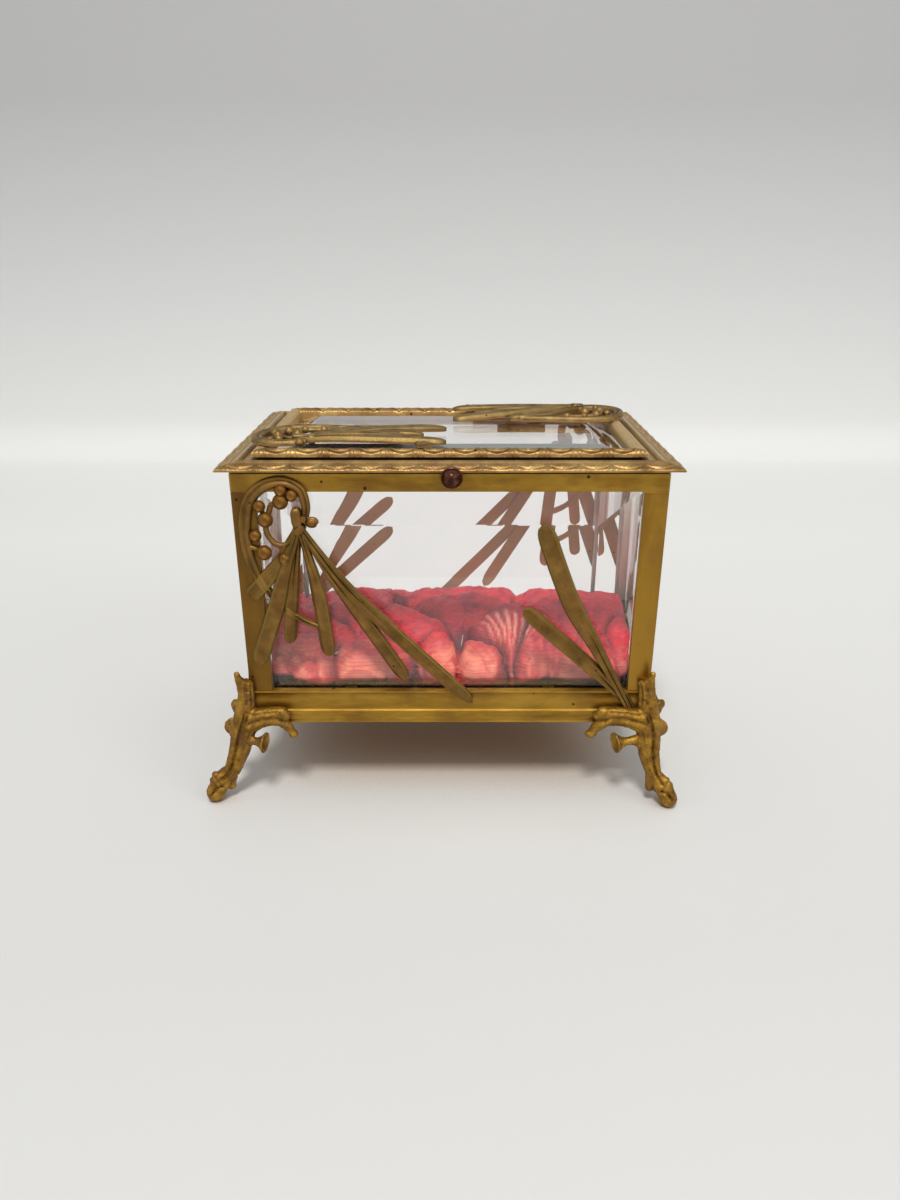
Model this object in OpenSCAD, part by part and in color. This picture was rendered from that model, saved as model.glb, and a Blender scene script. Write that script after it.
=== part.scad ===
// Glass casket: a bevelled-glass box in a brass frame on four cast branch feet, with a hinged glazed lid.
// Millimetres. +Z is up, the front faces -Y, and the origin is on the ground under the middle of the case.

/* [Case] */
// Width of the case over its flat faces
case_w = 142; // [120:1:180]
// Depth of the case over its flat faces
case_d = 92; // [80:1:120]
// Height of the case's underside above the ground
base_z = 30.1; // [28:0.1:36]
// Height of the moulded bottom rails
bottom_rail_h = 12.6; // [11:0.1:18]
// Height of the glass opening
opening_h = 72.8; // [64:0.1:100]
// Height of the top rails
top_rail_h = 6; // [5:0.1:10]
// Face width of a corner post
post_w = 8; // [7:0.1:10]
// Depth of the rails behind their face
rail_t = 3.8; // [3.6:0.1:5]
// How far the engraved band stands out of the bottom rail
band_proud = 0.6; // [0.2:0.1:0.7]
// Height of the engraved band
band_h = 4.8; // [4:0.1:6]
// Depth of the groove above the band
groove_t = 0.7; // [0.3:0.1:0.9]

/* [Glass] */
// Thickness of a pane at its middle
glass_t = 3.5; // [3:0.1:3.7]
// Thickness of a pane at its edge
glass_edge_t = 1.6; // [1.2:0.1:1.9]
// How far a pane reaches behind the frame round its opening
glass_lap = 1.6; // [1:0.1:2.2]
// Width of the bevel at the ends of the front and back panes
bevel_end = 14; // [8:0.5:18]
// Width of the bevel along the top of each side pane
bevel_top = 11.5; // [8:0.5:16]
// Width of the bevel along the bottom of each side pane
bevel_bottom = 9; // [6:0.5:14]
// Width of the bevel round the lid's pane
lid_bevel = 9; // [6:0.5:12]

/* [Lid] */
// Width of the lid over its lip
lid_w = 150; // [130:1:190]
// Depth of the lid over its lip
lid_d = 99; // [88:1:130]
// Gap between the top rails and the lid
lid_gap = 0.2; // [0.1:0.05:0.5]
// Thickness of the lid's lip
lip_t = 0.8; // [0.6:0.1:1.2]
// How far the lip's underside stands above the lid's underside
lip_rise = 1; // [0.9:0.1:1.4]
// Width of the sloped engraved band
slope_w = 4.3; // [3:0.1:5]
// Rise of the sloped band
slope_rise = 1.2; // [0.8:0.1:1.6]
// Width of the plain band inside the slope
plain_w = 2.1; // [1.5:0.1:2.4]
// Distance from the case's face in to the raised moulding, at the ends
ends_inset = 5.9; // [5:0.1:8]
// Distance from the case's face in to the raised moulding, at the front and back
long_inset = 6.8; // [5.5:0.1:9]
// Width of the raised moulding
moulding_w = 5; // [4.4:0.1:6]
// Height of the moulding's rounded head
moulding_h = 1.9; // [1.6:0.1:3]
// Height of the shadow gap under the moulding's head
shadow_h = 1.8; // [1.2:0.1:2.4]

/* [Lid pull] */
// Radius of the collar
pull_collar_r = 3.55; // [3:0.05:4.5]
// Radius of the dome
pull_dome_r = 2.9; // [2.4:0.05:4]
// Thickness of the tab that carries the pull
pull_tab_t = 0.8; // [0.6:0.1:1.1]
// Distance of the pull from the middle of the lid
pull_x = 0.6; // [-10:0.1:10]

/* [Hinges] */
// Distance of each hinge from the middle
hinge_x = 30; // [20:1:34]
// Length of one knuckle
knuckle_l = 4; // [3:0.1:6]
// Radius of a knuckle
knuckle_r = 1.3; // [1.1:0.05:1.4]
// Radius of the hinge pin
pin_r = 0.6; // [0.4:0.05:0.7]
// Thickness of a hinge leaf
leaf_t = 0.8; // [0.6:0.1:0.9]
// Height of the case's hinge leaf
case_leaf_h = 7; // [4:0.1:9]

/* [Cushion] */
// Height of the cushion's edge above its card
cushion_edge_h = 10.5; // [8:0.5:14]
// Rise of the cushion's middle above its edge
cushion_rise = 12.5; // [10:0.5:20]
// How much lower the cushion lies at its back than at its front
cushion_lean = 6.5; // [0:0.5:7]
// Depth of a tuft
tuft_depth = 7; // [4:0.5:11]
// Gap between the cushion and what stands round it
cushion_gap = 0.5; // [0.3:0.1:2]
// Thickness of the card under the cushion
card_t = 1.7; // [1:0.1:3]
// Thickness of the floor plate
floor_t = 1.2; // [0.8:0.1:1.6]

/* [Castings] */
// Thickness of the sprays on the case
spray_t = 1.6; // [1:0.1:2.5]
// Thickness of the sprays on the lid
lid_spray_t = 1.8; // [1:0.1:2.5]
// Width of a long leaf of a spray
leaf_w = 4.9; // [3.5:0.1:6]
// Width of the berry spray's hoop
hoop_w = 3.6; // [2.5:0.1:4.5]
// Radius of a large berry
berry_r = 2.6; // [1.8:0.1:3]
// Height of a foot's pointed spur above the case's underside
spur_h = 21; // [16:0.5:26]
// Radius of a foot's stem at its root
stem_r = 4.1; // [3.4:0.1:5]
// Sideways reach of the front left toe beyond the case
splayed_toe_u = 14.6; // [10:0.1:18]
// Forward reach of the front left toe beyond the case
splayed_toe_w = 5.4; // [4:0.1:12]
// Sideways reach of the front right toe beyond the case
straight_toe_u = 8.2; // [6:0.1:14]
// Forward reach of the front right toe beyond the case
straight_toe_w = 9; // [6:0.1:14]

/* [Hidden] */
fit_gap = 0.1;
pin_gap = 0.05;
knuckle_gap = 0.2;
soft_gap = 0.3;
tall = 400;
curve_fn = 48;
limb_fn = 14;

half_w = case_w / 2;
half_d = case_d / 2;
opening_z = base_z + bottom_rail_h;
opening_top = opening_z + opening_h;
case_top = opening_top + top_rail_h;
skin_t = rail_t - glass_edge_t;
rebate_z = opening_z - glass_lap - fit_gap;
rebate_top = opening_top + glass_lap + fit_gap;
block_w = post_w - glass_lap - fit_gap;
ridge_h = 2.8;
groove_h = 2;
groove_slope = 0.4;
band_slope = 0.5;
tab_t = 0.8;
tab_w = 4;
tab_h = 4.6;
// How far a tab under the lid reaches over the frame, and under the pane.
lid_tab = [2, 1.4];
ledge_t = 1;
ledge_w = 2.5;
floor_z = base_z + ledge_t;
card_z = floor_z + floor_t;
cushion_z = card_z + card_t;
cushion_half = [half_w - rail_t - tab_t - cushion_gap, half_d - rail_t - tab_t - cushion_gap];

lid_z = case_top + lid_gap;
lip_z = lid_z + lip_rise;
lip_top = lip_z + lip_t;
recess_top = lip_top + 0.5;
plain_rise = 0.5;
plain_edge = 0.8;
moulding_z = recess_top + shadow_h;
moulding_top = moulding_z + moulding_h;
neck_inset = 1.8;
pocket_inset = 3.5;
// How far in from the lip the lid's underside steps up, which leaves room for the hinge leaves and the pull.
step_least = 3;
step_clear = 0.4;
step_in = [max(step_least, lid_w / 2 - half_w + step_clear), max(step_least, lid_d / 2 - half_d + step_clear)];
// How far the pull and the hinges' lid leaves reach, past the lip and past the case's face.
pull_y = max(lid_d / 2, half_d + 2 * fit_gap);
pull_foot = 2.4;
pull_drop = 5.6;
pull_w = 5;
collar_t = 0.8;
pull_below_lip = 2.2;
// The least of the lid's flat that shows between its plain edge and the moulding.
recess_least = 0.4;
moulding_most = slope_w + plain_w + plain_edge + recess_least;
moulding_half = [min(half_w - ends_inset, lid_w / 2 - moulding_most), min(half_d - long_inset, lid_d / 2 - moulding_most)];
pocket_half = [moulding_half[0] - pocket_inset, moulding_half[1] - pocket_inset];
lid_glass_half = [pocket_half[0] - fit_gap, pocket_half[1] - fit_gap];

hinge_y = half_d + knuckle_r + fit_gap * 2;
hinge_z = case_top - knuckle_r;
hinge_l = 5 * knuckle_l;
lid_leaf_y = max(lid_d / 2, hinge_y + knuckle_r);
knuckle_drop = 0.4;

tufts = [[-42, -22], [4, -19], [50, -18], [-19, 14], [27, 14]];
tuft_spread = 9;
tuft_pit_r = 1.8;
tuft_pit_t = 0.5;
knot_r = 0.9;
knot_h = 1;
cushion_rings = 12;
cushion_sides = 56;

// The corners that the castings' lines are drawn from: the glass opening's on a face of the case, and the
// raised moulding's on the lid. A casting moves with its corner.
spray_home = [-71, 115.5];
pair_home = [71, 42.7];
lid_spray_home = [-65.1, -39.2];

// Centrelines on the face of a case panel: across from its middle, and height above the ground.
hoop_line = [[-47.2, 110.5], [-48.6, 116.6], [-54.1, 119.1], [-60.5, 117.4], [-65.2, 112.4], [-67.2, 104],
    [-66.6, 93.5], [-63.4, 84.6], [-57.4, 76.6], [-50.6, 70.9], [-45.2, 68.2]];
loop_line = [[-58.2, 111], [-60.2, 103.4], [-58.6, 99.2], [-55.7, 97.6], [-52.6, 99], [-50.5, 104.6]];
spray_leaves = [
    [[-50.5, 103], [-57, 91.5], [-62, 85], [-67.2, 79.4]],
    [[-50, 102], [-55.2, 87.3], [-58.8, 75.5], [-66.7, 53.8]],
    [[-49.6, 102], [-51.6, 90], [-53.6, 76], [-55.3, 61.8]],
    [[-49, 102], [-45.7, 88], [-43.8, 76], [-42, 56.8]],
    [[-48.6, 102.5], [-40, 87.6], [-30.6, 72.6], [-15.2, 47.4]],
    [[-48.2, 103], [-35.6, 84.4], [-19.5, 66.4], [8.1, 38.4]]];
large_berries = [[-54.8, 112.6], [-60.1, 106.5], [-61.3, 95.2]];
small_berries = [[-54.5, 116.2], [-51.1, 114.6], [-61.8, 111], [-63.8, 101], [-54.9, 93], [-45.2, 106.1]];
spray_twigs = [[[-61.8, 111], [-60.1, 106.5]], [[-61.3, 95.2], [-66, 97]], [[-45.2, 106.1], [-49.7, 106.4]],
    [[-54.8, 112.6], [-57.2, 111.7], [-58.2, 111]]];
twig_w = 1.7;
spray_hub = [-49.7, 106.4];
hub_size = [3.4, 7];
hub_collar = [3.4, 4.4, 1];
loop_w = 1.9;
small_berry = 0.8;
pair_leaves = [
    [[62.6, 41.6], [51.8, 62], [42.6, 78], [31, 104.4]],
    [[63, 40.6], [54.6, 49], [45.6, 57.4], [25.2, 74.8]]];
pair_stem = [[64.3, 39.7], [62.6, 41.6]];

// Centrelines on the lid, seen from above.
lid_hoop_line = [[-48, -31.6], [-58, -32.6], [-64.4, -28.4], [-65.6, -20.5], [-61.4, -11.6], [-53, -7.6],
    [-40, -8.4], [-26.6, -9.8]];
lid_leaves = [[[-52, -30], [-40, -29.2], [-24, -29.6], [-1.2, -30.6]], [[-50, -28], [-38, -23], [-22, -15], [-1.2, -8.6]]];
lid_large_berries = [[-58.6, -23.4], [-56, -16]];
lid_small_berries = [[-60.6, -18.6], [-51, -12.8], [-44.4, -12.4], [-49.6, -33.6]];
lid_twig = [[-50.6, -28.6], [-58.2, -23.4], [-57.4, -16.4], [-51, -12.8], [-44.4, -12.4], [-40, -9.4]];
lid_hub = [-50.6, -28.6];
lid_hub_size = [4.4, 3.4, 0.5];
lid_berry = 0.85;
lid_small_berry = 0.7;

// A foot's skeleton in its corner's own frame: x and y run outward from the corner, z from the case's underside.
cut_w = 60;
stem_root = [2.2, 2.2, -0.1];
stem_collar = [2.2, 2.2, 7.9];
collar_r = 3.2;
spur_tip = [3.3, 3.3];
spur_r = 1.2;
knee_r = 3.6;
ankle_r = 3.1;
heel_r = 3.4;
heel_z = 4.8;
toe_r = 2.7;
toe_z = 2.3;
nub_r = 1.4;
nub_z = 6.2;
nub_root_r = 2.4;
arm_root = [1.6, 2.2, 0.9];
arm_root_r = 3.8;
arm_shoulder = [-4, 2.8, 4.1];
arm_shoulder_r = 3.4;
arm_elbow = [-10.6, 2.6, 4.5];
arm_elbow_r = 2.9;
arm_tip = [-14.4, 2.4, -1.7];
arm_tip_r = 1.6;
lobe_root = [-0.8, 1.2, 6.4];
lobe_root_r = 3.2;
lobe_tip = [-3.2, 0.6, 17.6];
lobe_tip_r = 2.3;
stub_root = [2.4, 3, -9.1];
stub_root_r = 2.2;
stub_tip = [-4, 3.6, -6.7];
stub_tip_r = 1.6;
stub_disc_r = 3.7;
stub_disc_t = 1.3;
stub_tilt = 80;

case_brass = "#9A7528";
lid_brass = "#9A7C4C";
foot_brass = "#A5823A";
leaf_brass = "#74682A";
pull_copper = "#6A4638";
pane_tint = [0.85, 0.93, 0.92, 0.3];
silk_rose = "#CC5060";

// ---- Curves ----

function blend_point(a, b, c, d, t) =
    0.5 * (2 * b + (c - a) * t + (2 * a - 5 * b + 4 * c - d) * t * t + (3 * b - a - 3 * c + d) * t * t * t);

// A smooth line through the points, with steps stretches between each two.
function smooth_line(p, steps) =
    let (last = len(p) - 1)
    concat([for (i = [0:last - 1], k = [0:steps - 1])
        blend_point(p[max(i - 1, 0)], p[i], p[i + 1], p[min(i + 2, last)], k / steps)], [p[last]]);

function side_step(line, i) =
    let (a = line[max(i - 1, 0)], b = line[min(i + 1, len(line) - 1)], run = b - a)
    [-run[1], run[0]] / norm(run);

// Half widths along a leaf: a narrow stem, its widest at two thirds, a round tip.
function leaf_half(t) =
    (0.36 + 0.64 * pow(sin(90 * min(1, t / 0.7)), 1.4)) * sqrt(max(0.02, 1 - pow(max(0, t - 0.86) / 0.14, 2)));

module band_along(line, half_widths) {
    last = len(line) - 1;
    near = [for (i = [0:last]) line[i] + side_step(line, i) * half_widths[i]];
    far = [for (i = [0:last]) line[last - i] - side_step(line, last - i) * half_widths[last - i]];
    polygon(concat(near, far));
}

module ribbon(points, width) {
    line = smooth_line(points, 3);
    band_along(line, [for (p = line) width / 2]);
}

module leaf(points, width) {
    line = smooth_line(points, 5);
    last = len(line) - 1;
    band_along(line, [for (i = [0:last]) width / 2 * leaf_half(i / last)]);
}

module half_ball(r) {
    rotate_extrude($fn = curve_fn) intersection() {
        circle(r, $fn = curve_fn);
        square([r, r]);
    }
}

// ---- Frame ----

// Children are a profile: outward from the face of the side, and height. Side 0 is the front, then anticlockwise.
module mitred_side(side, half_x, half_y) {
    along = side % 2 == 0 ? half_x : half_y;
    out = side % 2 == 0 ? half_y : half_x;
    over = 4;
    inset = min(along, out) - 1;
    rotate([0, 0, 90 * side]) intersection() {
        translate([-along - over, -out, 0]) rotate([90, 0, 90])
            linear_extrude(2 * (along + over)) mirror([1, 0]) children();
        linear_extrude(tall) polygon([[-along - over, -out - over], [along + over, -out - over],
            [along - inset, -out + inset], [-along + inset, -out + inset]]);
    }
}

module bottom_rail_profile() {
    groove_z = base_z + band_h + ridge_h;
    polygon([[band_proud, base_z], [band_proud, base_z + band_h], [0, base_z + band_h + band_slope], [0, groove_z],
        [-groove_t, groove_z + groove_slope], [-groove_t, groove_z + groove_h - groove_slope], [0, groove_z + groove_h],
        [0, opening_z], [-skin_t, opening_z], [-skin_t, rebate_z], [-rail_t, rebate_z],
        [-rail_t, base_z + ledge_t], [-rail_t - ledge_w, base_z + ledge_t], [-rail_t - ledge_w, base_z]]);
}

module top_rail_profile() {
    polygon([[0, opening_top], [0, case_top], [-rail_t, case_top], [-rail_t, rebate_top],
        [-skin_t, rebate_top], [-skin_t, opening_top]]);
}

module bottom_rail(side) {
    color(case_brass) mitred_side(side, half_w, half_d) bottom_rail_profile();
}

module top_rail(side) {
    color(case_brass) mitred_side(side, half_w, half_d) top_rail_profile();
}

// sx and sy are the signs of the corner.
module post(sx, sy) {
    color(case_brass) scale([sx, sy, 1]) translate([half_w, half_d, opening_z]) mirror([1, 1, 0]) union() {
        cube([block_w, block_w, opening_h]);
        cube([post_w, skin_t, opening_h]);
        cube([skin_t, post_w, opening_h]);
    }
}

// ---- Glass ----

// A pane lying flat with its bevel upwards. low and high are its corners, and the bevel starts lap inside them.
module pane(low, high, lap, flat_low, flat_high) {
    translate(low) cube([high[0] - low[0], high[1] - low[1], glass_edge_t]);
    hull() {
        translate([low[0] + lap, low[1] + lap, 0])
            cube([high[0] - low[0] - 2 * lap, high[1] - low[1] - 2 * lap, glass_edge_t]);
        translate(flat_low) cube([flat_high[0] - flat_low[0], flat_high[1] - flat_low[1], glass_t]);
    }
}

module side_glass(side) {
    along = side % 2 == 0 ? half_w : half_d;
    out = side % 2 == 0 ? half_d : half_w;
    open = along - post_w;
    reach = open + glass_lap;
    color(pane_tint) rotate([0, 0, 90 * side]) translate([0, -out + rail_t, 0]) rotate([90, 0, 0])
        pane([-reach, opening_z - glass_lap], [reach, opening_top + glass_lap], glass_lap,
            [-open + bevel_end, opening_z + bevel_bottom], [open - bevel_end, opening_top - bevel_top]);
}

// Small brass tabs that keep the panes in the frame, two above and two below each pane. They stop short of the opening.
module glass_tabs() {
    color(case_brass) for (side = [0:3]) {
        along = side % 2 == 0 ? half_w : half_d;
        out = side % 2 == 0 ? half_d : half_w;
        for (s = [-1, 1]) rotate([0, 0, 90 * side]) translate([s * along / 2 - tab_w / 2, -out + rail_t, 0]) {
            translate([0, 0, opening_top + fit_gap]) cube([tab_w, tab_t, tab_h]);
            translate([0, 0, opening_z - fit_gap - tab_h]) cube([tab_w, tab_t, tab_h]);
        }
    }
}

// ---- Floor and cushion ----

module floor_plate() {
    half = [half_w - rail_t - fit_gap, half_d - rail_t - fit_gap];
    color(case_brass) translate([-half[0], -half[1], floor_z]) cube([2 * half[0], 2 * half[1], floor_t]);
}

module cushion_card() {
    half = cushion_half;
    color("#B9A88C") translate([-half[0], -half[1], card_z]) cube([2 * half[0], 2 * half[1], card_t]);
}

function sign_of(v) = v < 0 ? -1 : 1;
function squircle(c) = sign_of(c) * pow(abs(c), 1 / 6);

function tuft_at(x, y) =
    max([for (t = tufts) exp(-(pow(x - t[0], 2) + pow(y - t[1], 2)) / (tuft_spread * tuft_spread))]);

function cushion_top(x, y) =
    let (u = x / cushion_half[0], w = y / cushion_half[1])
    cushion_z + cushion_edge_h + cushion_rise * sqrt(max(0, (1 - pow(abs(u), 4)) * (1 - pow(abs(w), 4))))
        - cushion_lean * (1 + w) / 2 - tuft_depth * tuft_at(x, y);

function tuft_floor(t) = cushion_top(t[0], t[1]) - tuft_pit_t;

function cushion_ring(k) =
    let (s = (cushion_rings - k) / cushion_rings)
    [for (j = [0:cushion_sides - 1])
        let (a = 360 * j / cushion_sides, x = s * cushion_half[0] * squircle(cos(a)),
            y = s * cushion_half[1] * squircle(sin(a)))
        [x, y, cushion_top(x, y)]];

module cushion() {
    foot = [for (p = cushion_ring(0)) [p[0] * 0.985, p[1] * 0.985, cushion_z]];
    points = concat(foot, [for (k = [0:cushion_rings - 1]) each cushion_ring(k)], [[0, 0, cushion_top(0, 0)]]);
    n = cushion_sides;
    peak = len(points) - 1;
    faces = concat([[for (j = [0:n - 1]) j]],
        [for (k = [0:cushion_rings - 1], j = [0:n - 1]) let (a = k * n + j, b = k * n + (j + 1) % n)
            each [[a, a + n, b + n], [a, b + n, b]]],
        [for (j = [0:n - 1]) [cushion_rings * n + j, peak, cushion_rings * n + (j + 1) % n]]);
    color(silk_rose) difference() {
        polyhedron(points, faces, convexity = 6);
        for (t = tufts) translate([t[0], t[1], tuft_floor(t)]) cylinder(h = tall, r = tuft_pit_r, $fn = curve_fn);
    }
}

// The knotted thread that draws down each tuft.
module tuft_threads() {
    color("#E8DAD0") for (t = tufts) translate([t[0], t[1], tuft_floor(t) + soft_gap])
        cylinder(h = knot_h, r = knot_r, $fn = curve_fn);
}

// ---- Castings ----

module case_face(side) {
    out = side % 2 == 0 ? half_d : half_w;
    rotate([0, 0, 90 * side]) translate([0, -out, 0]) rotate([90, 0, 0]) children();
}

module berries(places, r, thickness) {
    for (p = places) translate(p) {
        cylinder(h = thickness, r = r, $fn = curve_fn);
        translate([0, 0, thickness]) scale(0.92) half_ball(r);
    }
}

module berry_spray(side) {
    along = side % 2 == 0 ? half_w : half_d;
    color(leaf_brass) case_face(side) translate([-along - spray_home[0], opening_top - spray_home[1], 0]) {
        linear_extrude(spray_t) {
            ribbon(hoop_line, hoop_w);
            ribbon(loop_line, loop_w);
            for (points = spray_leaves) leaf(points, leaf_w);
            for (points = spray_twigs) ribbon(points, twig_w);
            translate(spray_hub) square(hub_size, center = true);
        }
        translate([spray_hub[0] - hub_collar[0] / 2, spray_hub[1] - hub_collar[1] / 2, 0])
            cube([hub_collar[0], hub_collar[1], spray_t + hub_collar[2]]);
        berries(large_berries, berry_r, spray_t);
        berries(small_berries, berry_r * small_berry, spray_t);
    }
}

module leaf_pair(side) {
    along = side % 2 == 0 ? half_w : half_d;
    shift = [along - pair_home[0], opening_z - pair_home[1], 0];
    color(leaf_brass) case_face(side) translate(shift) linear_extrude(spray_t) {
        for (points = pair_leaves) leaf(points, leaf_w);
        ribbon(pair_stem, 3);
    }
}

module lid_spray(turn) {
    shift = [-moulding_half[0] - lid_spray_home[0], -moulding_half[1] - lid_spray_home[1], moulding_top];
    color(leaf_brass) rotate([0, 0, turn]) translate(shift) {
        linear_extrude(lid_spray_t) {
            ribbon(lid_hoop_line, hoop_w);
            ribbon(lid_twig, twig_w);
            for (points = lid_leaves) leaf(points, leaf_w);
        }
        translate([lid_hub[0] - lid_hub_size[0] / 2, lid_hub[1] - lid_hub_size[1] / 2, 0])
            cube([lid_hub_size[0], lid_hub_size[1], lid_spray_t + lid_hub_size[2]]);
        berries(lid_large_berries, berry_r * lid_berry, lid_spray_t);
        berries(lid_small_berries, berry_r * lid_small_berry, lid_spray_t);
    }
}

// ---- Feet ----

module limb(a, ra, b, rb) {
    hull() {
        translate(a) sphere(ra, $fn = limb_fn);
        translate(b) sphere(rb, $fn = limb_fn);
    }
}

// What the two faces of a corner share, drawn once for each. Heights are from the case's underside.
module foot_arm() {
    translate([0, 0, base_z]) {
        limb(arm_root, arm_root_r, arm_shoulder, arm_shoulder_r);
        limb(arm_shoulder, arm_shoulder_r, arm_elbow, arm_elbow_r);
        limb(arm_elbow, arm_elbow_r, arm_tip, arm_tip_r);
        limb(lobe_root, lobe_root_r, lobe_tip, lobe_tip_r);
        limb(stub_root, stub_root_r, stub_tip, stub_tip_r);
        translate(stub_tip) rotate([0, -stub_tilt, 0]) cylinder(h = stub_disc_t, r = stub_disc_r, $fn = limb_fn);
    }
}

// toe is how far the toe reaches out from the corner in x and y.
module foot_shape(toe) {
    under = [0, 0, base_z];
    knee = [toe[0] * 0.34, toe[1] * 0.44, base_z * 0.63];
    ankle = [toe[0] * 0.58, toe[1] * 0.68, base_z * 0.385];
    heel = [toe[0] * 0.84, toe[1] * 0.88, heel_z];
    tip = [toe[0] * 1.06, toe[1] * 1.04, toe_z];
    difference() {
        union() {
            limb(under + stem_collar, collar_r, [spur_tip[0], spur_tip[1], base_z + spur_h - spur_r], spur_r);
            limb(under + stem_collar, collar_r, under + stem_root, stem_r);
            limb(under + stem_root, stem_r, knee, knee_r);
            limb(knee, knee_r, ankle, ankle_r);
            limb(ankle, ankle_r, heel, heel_r);
            limb(heel, heel_r, tip, toe_r);
            limb(ankle, nub_root_r, [toe[0] * 0.5, toe[1] * 0.55, nub_z], nub_r);
            foot_arm();
            mirror([1, -1, 0]) foot_arm();
        }
        translate([-cut_w, -cut_w, base_z]) cube([cut_w, cut_w, tall]);
        translate([-cut_w, -cut_w, base_z])
            cube([cut_w + band_proud, cut_w + band_proud, band_h + band_slope]);
        translate([-cut_w, -cut_w, -cut_w]) cube([2 * cut_w, 2 * cut_w, cut_w]);
    }
}

module foot(sx, sy, toe) {
    color(foot_brass) scale([sx, sy, 1]) translate([half_w, half_d, 0]) foot_shape(toe);
}

// ---- Lid ----

// pocket and step are how far in from the lip the pane's pocket and the step of the underside lie.
module lid_frame_profile(pocket, step) {
    polygon([[0, lip_z], [0, lip_top], [-slope_w, lip_top + slope_rise],
        [-slope_w - plain_w, lip_top + slope_rise + plain_rise],
        [-slope_w - plain_w - plain_edge, recess_top], [-pocket, recess_top], [-pocket, lid_z],
        [-step, lid_z], [-step, lip_z]]);
}

module lid_frame() {
    lip_half = [lid_w / 2, lid_d / 2];
    color(lid_brass) for (side = [0:3]) {
        across = side % 2 == 0 ? 1 : 0;
        mitred_side(side, lip_half[0], lip_half[1])
            lid_frame_profile(lip_half[across] - pocket_half[across], step_in[across]);
    }
}

module lid_moulding_profile() {
    edge = 0.6;
    haunch = [0.7, 0.3];
    crown = 1.8;
    polygon([[0, moulding_z], [0, moulding_z + edge], [-haunch[0], moulding_top - haunch[1]], [-crown, moulding_top],
        [-moulding_w + crown, moulding_top], [-moulding_w + haunch[0], moulding_top - haunch[1]],
        [-moulding_w, moulding_z + edge],
        [-moulding_w, lid_z + glass_edge_t], [-pocket_inset, lid_z + glass_edge_t], [-pocket_inset, recess_top],
        [-neck_inset, recess_top], [-neck_inset, moulding_z]]);
}

module lid_moulding(side) {
    color(lid_brass) mitred_side(side, moulding_half[0], moulding_half[1]) lid_moulding_profile();
}

module lid_glass() {
    flat_half = [moulding_half[0] - moulding_w - lid_bevel, moulding_half[1] - moulding_w - lid_bevel];
    color(pane_tint) translate([0, 0, lid_z])
        pane(-lid_glass_half, lid_glass_half, moulding_w - pocket_inset - fit_gap, -flat_half, flat_half);
}

// Tabs under the lid that carry its pane, two along each side.
module lid_glass_tabs() {
    color(lid_brass) for (side = [0:3], s = [-1, 1]) {
        along = side % 2 == 0 ? pocket_half[0] : pocket_half[1];
        out = side % 2 == 0 ? pocket_half[1] : pocket_half[0];
        rotate([0, 0, 90 * side]) translate([s * along / 2 - tab_w / 2, -out - lid_tab[0], lid_z - tab_t])
            cube([tab_w, lid_tab[0] + lid_tab[1], tab_t]);
    }
}

// A bent tab under the lip: its foot lies against the lip's underside and its face hangs before the case.
module lid_pull_tab() {
    foot_back = lid_d / 2 - pull_foot;
    color(lid_brass) translate([pull_x - pull_w / 2, 0, 0]) union() {
        translate([0, -pull_y - pull_tab_t, lip_top - pull_drop]) cube([pull_w, pull_tab_t, pull_drop]);
        translate([0, -pull_y - pull_tab_t, lip_z - pull_tab_t])
            cube([pull_w, pull_y + pull_tab_t - foot_back, pull_tab_t]);
    }
}

module lid_pull() {
    color(pull_copper) translate([pull_x, -pull_y - pull_tab_t, lip_top - pull_below_lip])
        rotate([90, 0, 0]) union() {
            cylinder(h = collar_t, r = pull_collar_r, $fn = curve_fn);
            translate([0, 0, collar_t]) half_ball(pull_dome_r);
        }
}

// ---- Hinges ----

module knuckle(k, bore_r) {
    start = -hinge_l / 2 + k * knuckle_l + knuckle_gap / 2;
    translate([start, hinge_y, hinge_z]) rotate([0, 90, 0]) difference() {
        cylinder(h = knuckle_l - knuckle_gap, r = knuckle_r, $fn = curve_fn);
        translate([0, 0, -1]) cylinder(h = knuckle_l + 2, r = bore_r, $fn = curve_fn);
    }
}

// The web from a leaf to its knuckle, with the pin's bore cleared out of it.
module knuckle_web(k, low, high) {
    start = -hinge_l / 2 + k * knuckle_l + knuckle_gap / 2;
    difference() {
        translate([start, low[0], low[1]]) cube([knuckle_l - knuckle_gap, high[0] - low[0], high[1] - low[1]]);
        translate([start - 1, hinge_y, hinge_z]) rotate([0, 90, 0])
            cylinder(h = knuckle_l + 2, r = pin_r + pin_gap, $fn = curve_fn);
    }
}

module hinge_case_leaves() {
    leaf_top = hinge_z - knuckle_r - knuckle_drop;
    color(case_brass) for (s = [-1, 1]) translate([s * hinge_x, 0, 0]) union() {
        translate([-hinge_l / 2, half_d, leaf_top - case_leaf_h]) cube([hinge_l, leaf_t, case_leaf_h]);
        for (k = [0, 2, 4]) {
            knuckle(k, pin_r + pin_gap);
            knuckle_web(k, [half_d, leaf_top - 1], [hinge_y, hinge_z]);
        }
    }
}

module hinge_lid_leaves() {
    leaf_front = lid_d / 2 - step_in[1] + fit_gap;
    color(lid_brass) for (s = [-1, 1]) translate([s * hinge_x, 0, 0]) union() {
        translate([-hinge_l / 2, leaf_front, lip_z - leaf_t]) cube([hinge_l, lid_leaf_y - leaf_front, leaf_t]);
        for (k = [1, 3]) {
            knuckle(k, pin_r + pin_gap);
            knuckle_web(k, [hinge_y - knuckle_r * 0.5, hinge_z], [hinge_y + knuckle_r * 0.8, lip_z - leaf_t / 2]);
        }
    }
}

module hinge_pins() {
    color("silver") for (s = [-1, 1]) translate([s * hinge_x - hinge_l / 2, hinge_y, hinge_z])
        rotate([0, 90, 0]) cylinder(h = hinge_l, r = pin_r, $fn = curve_fn);
}

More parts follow.
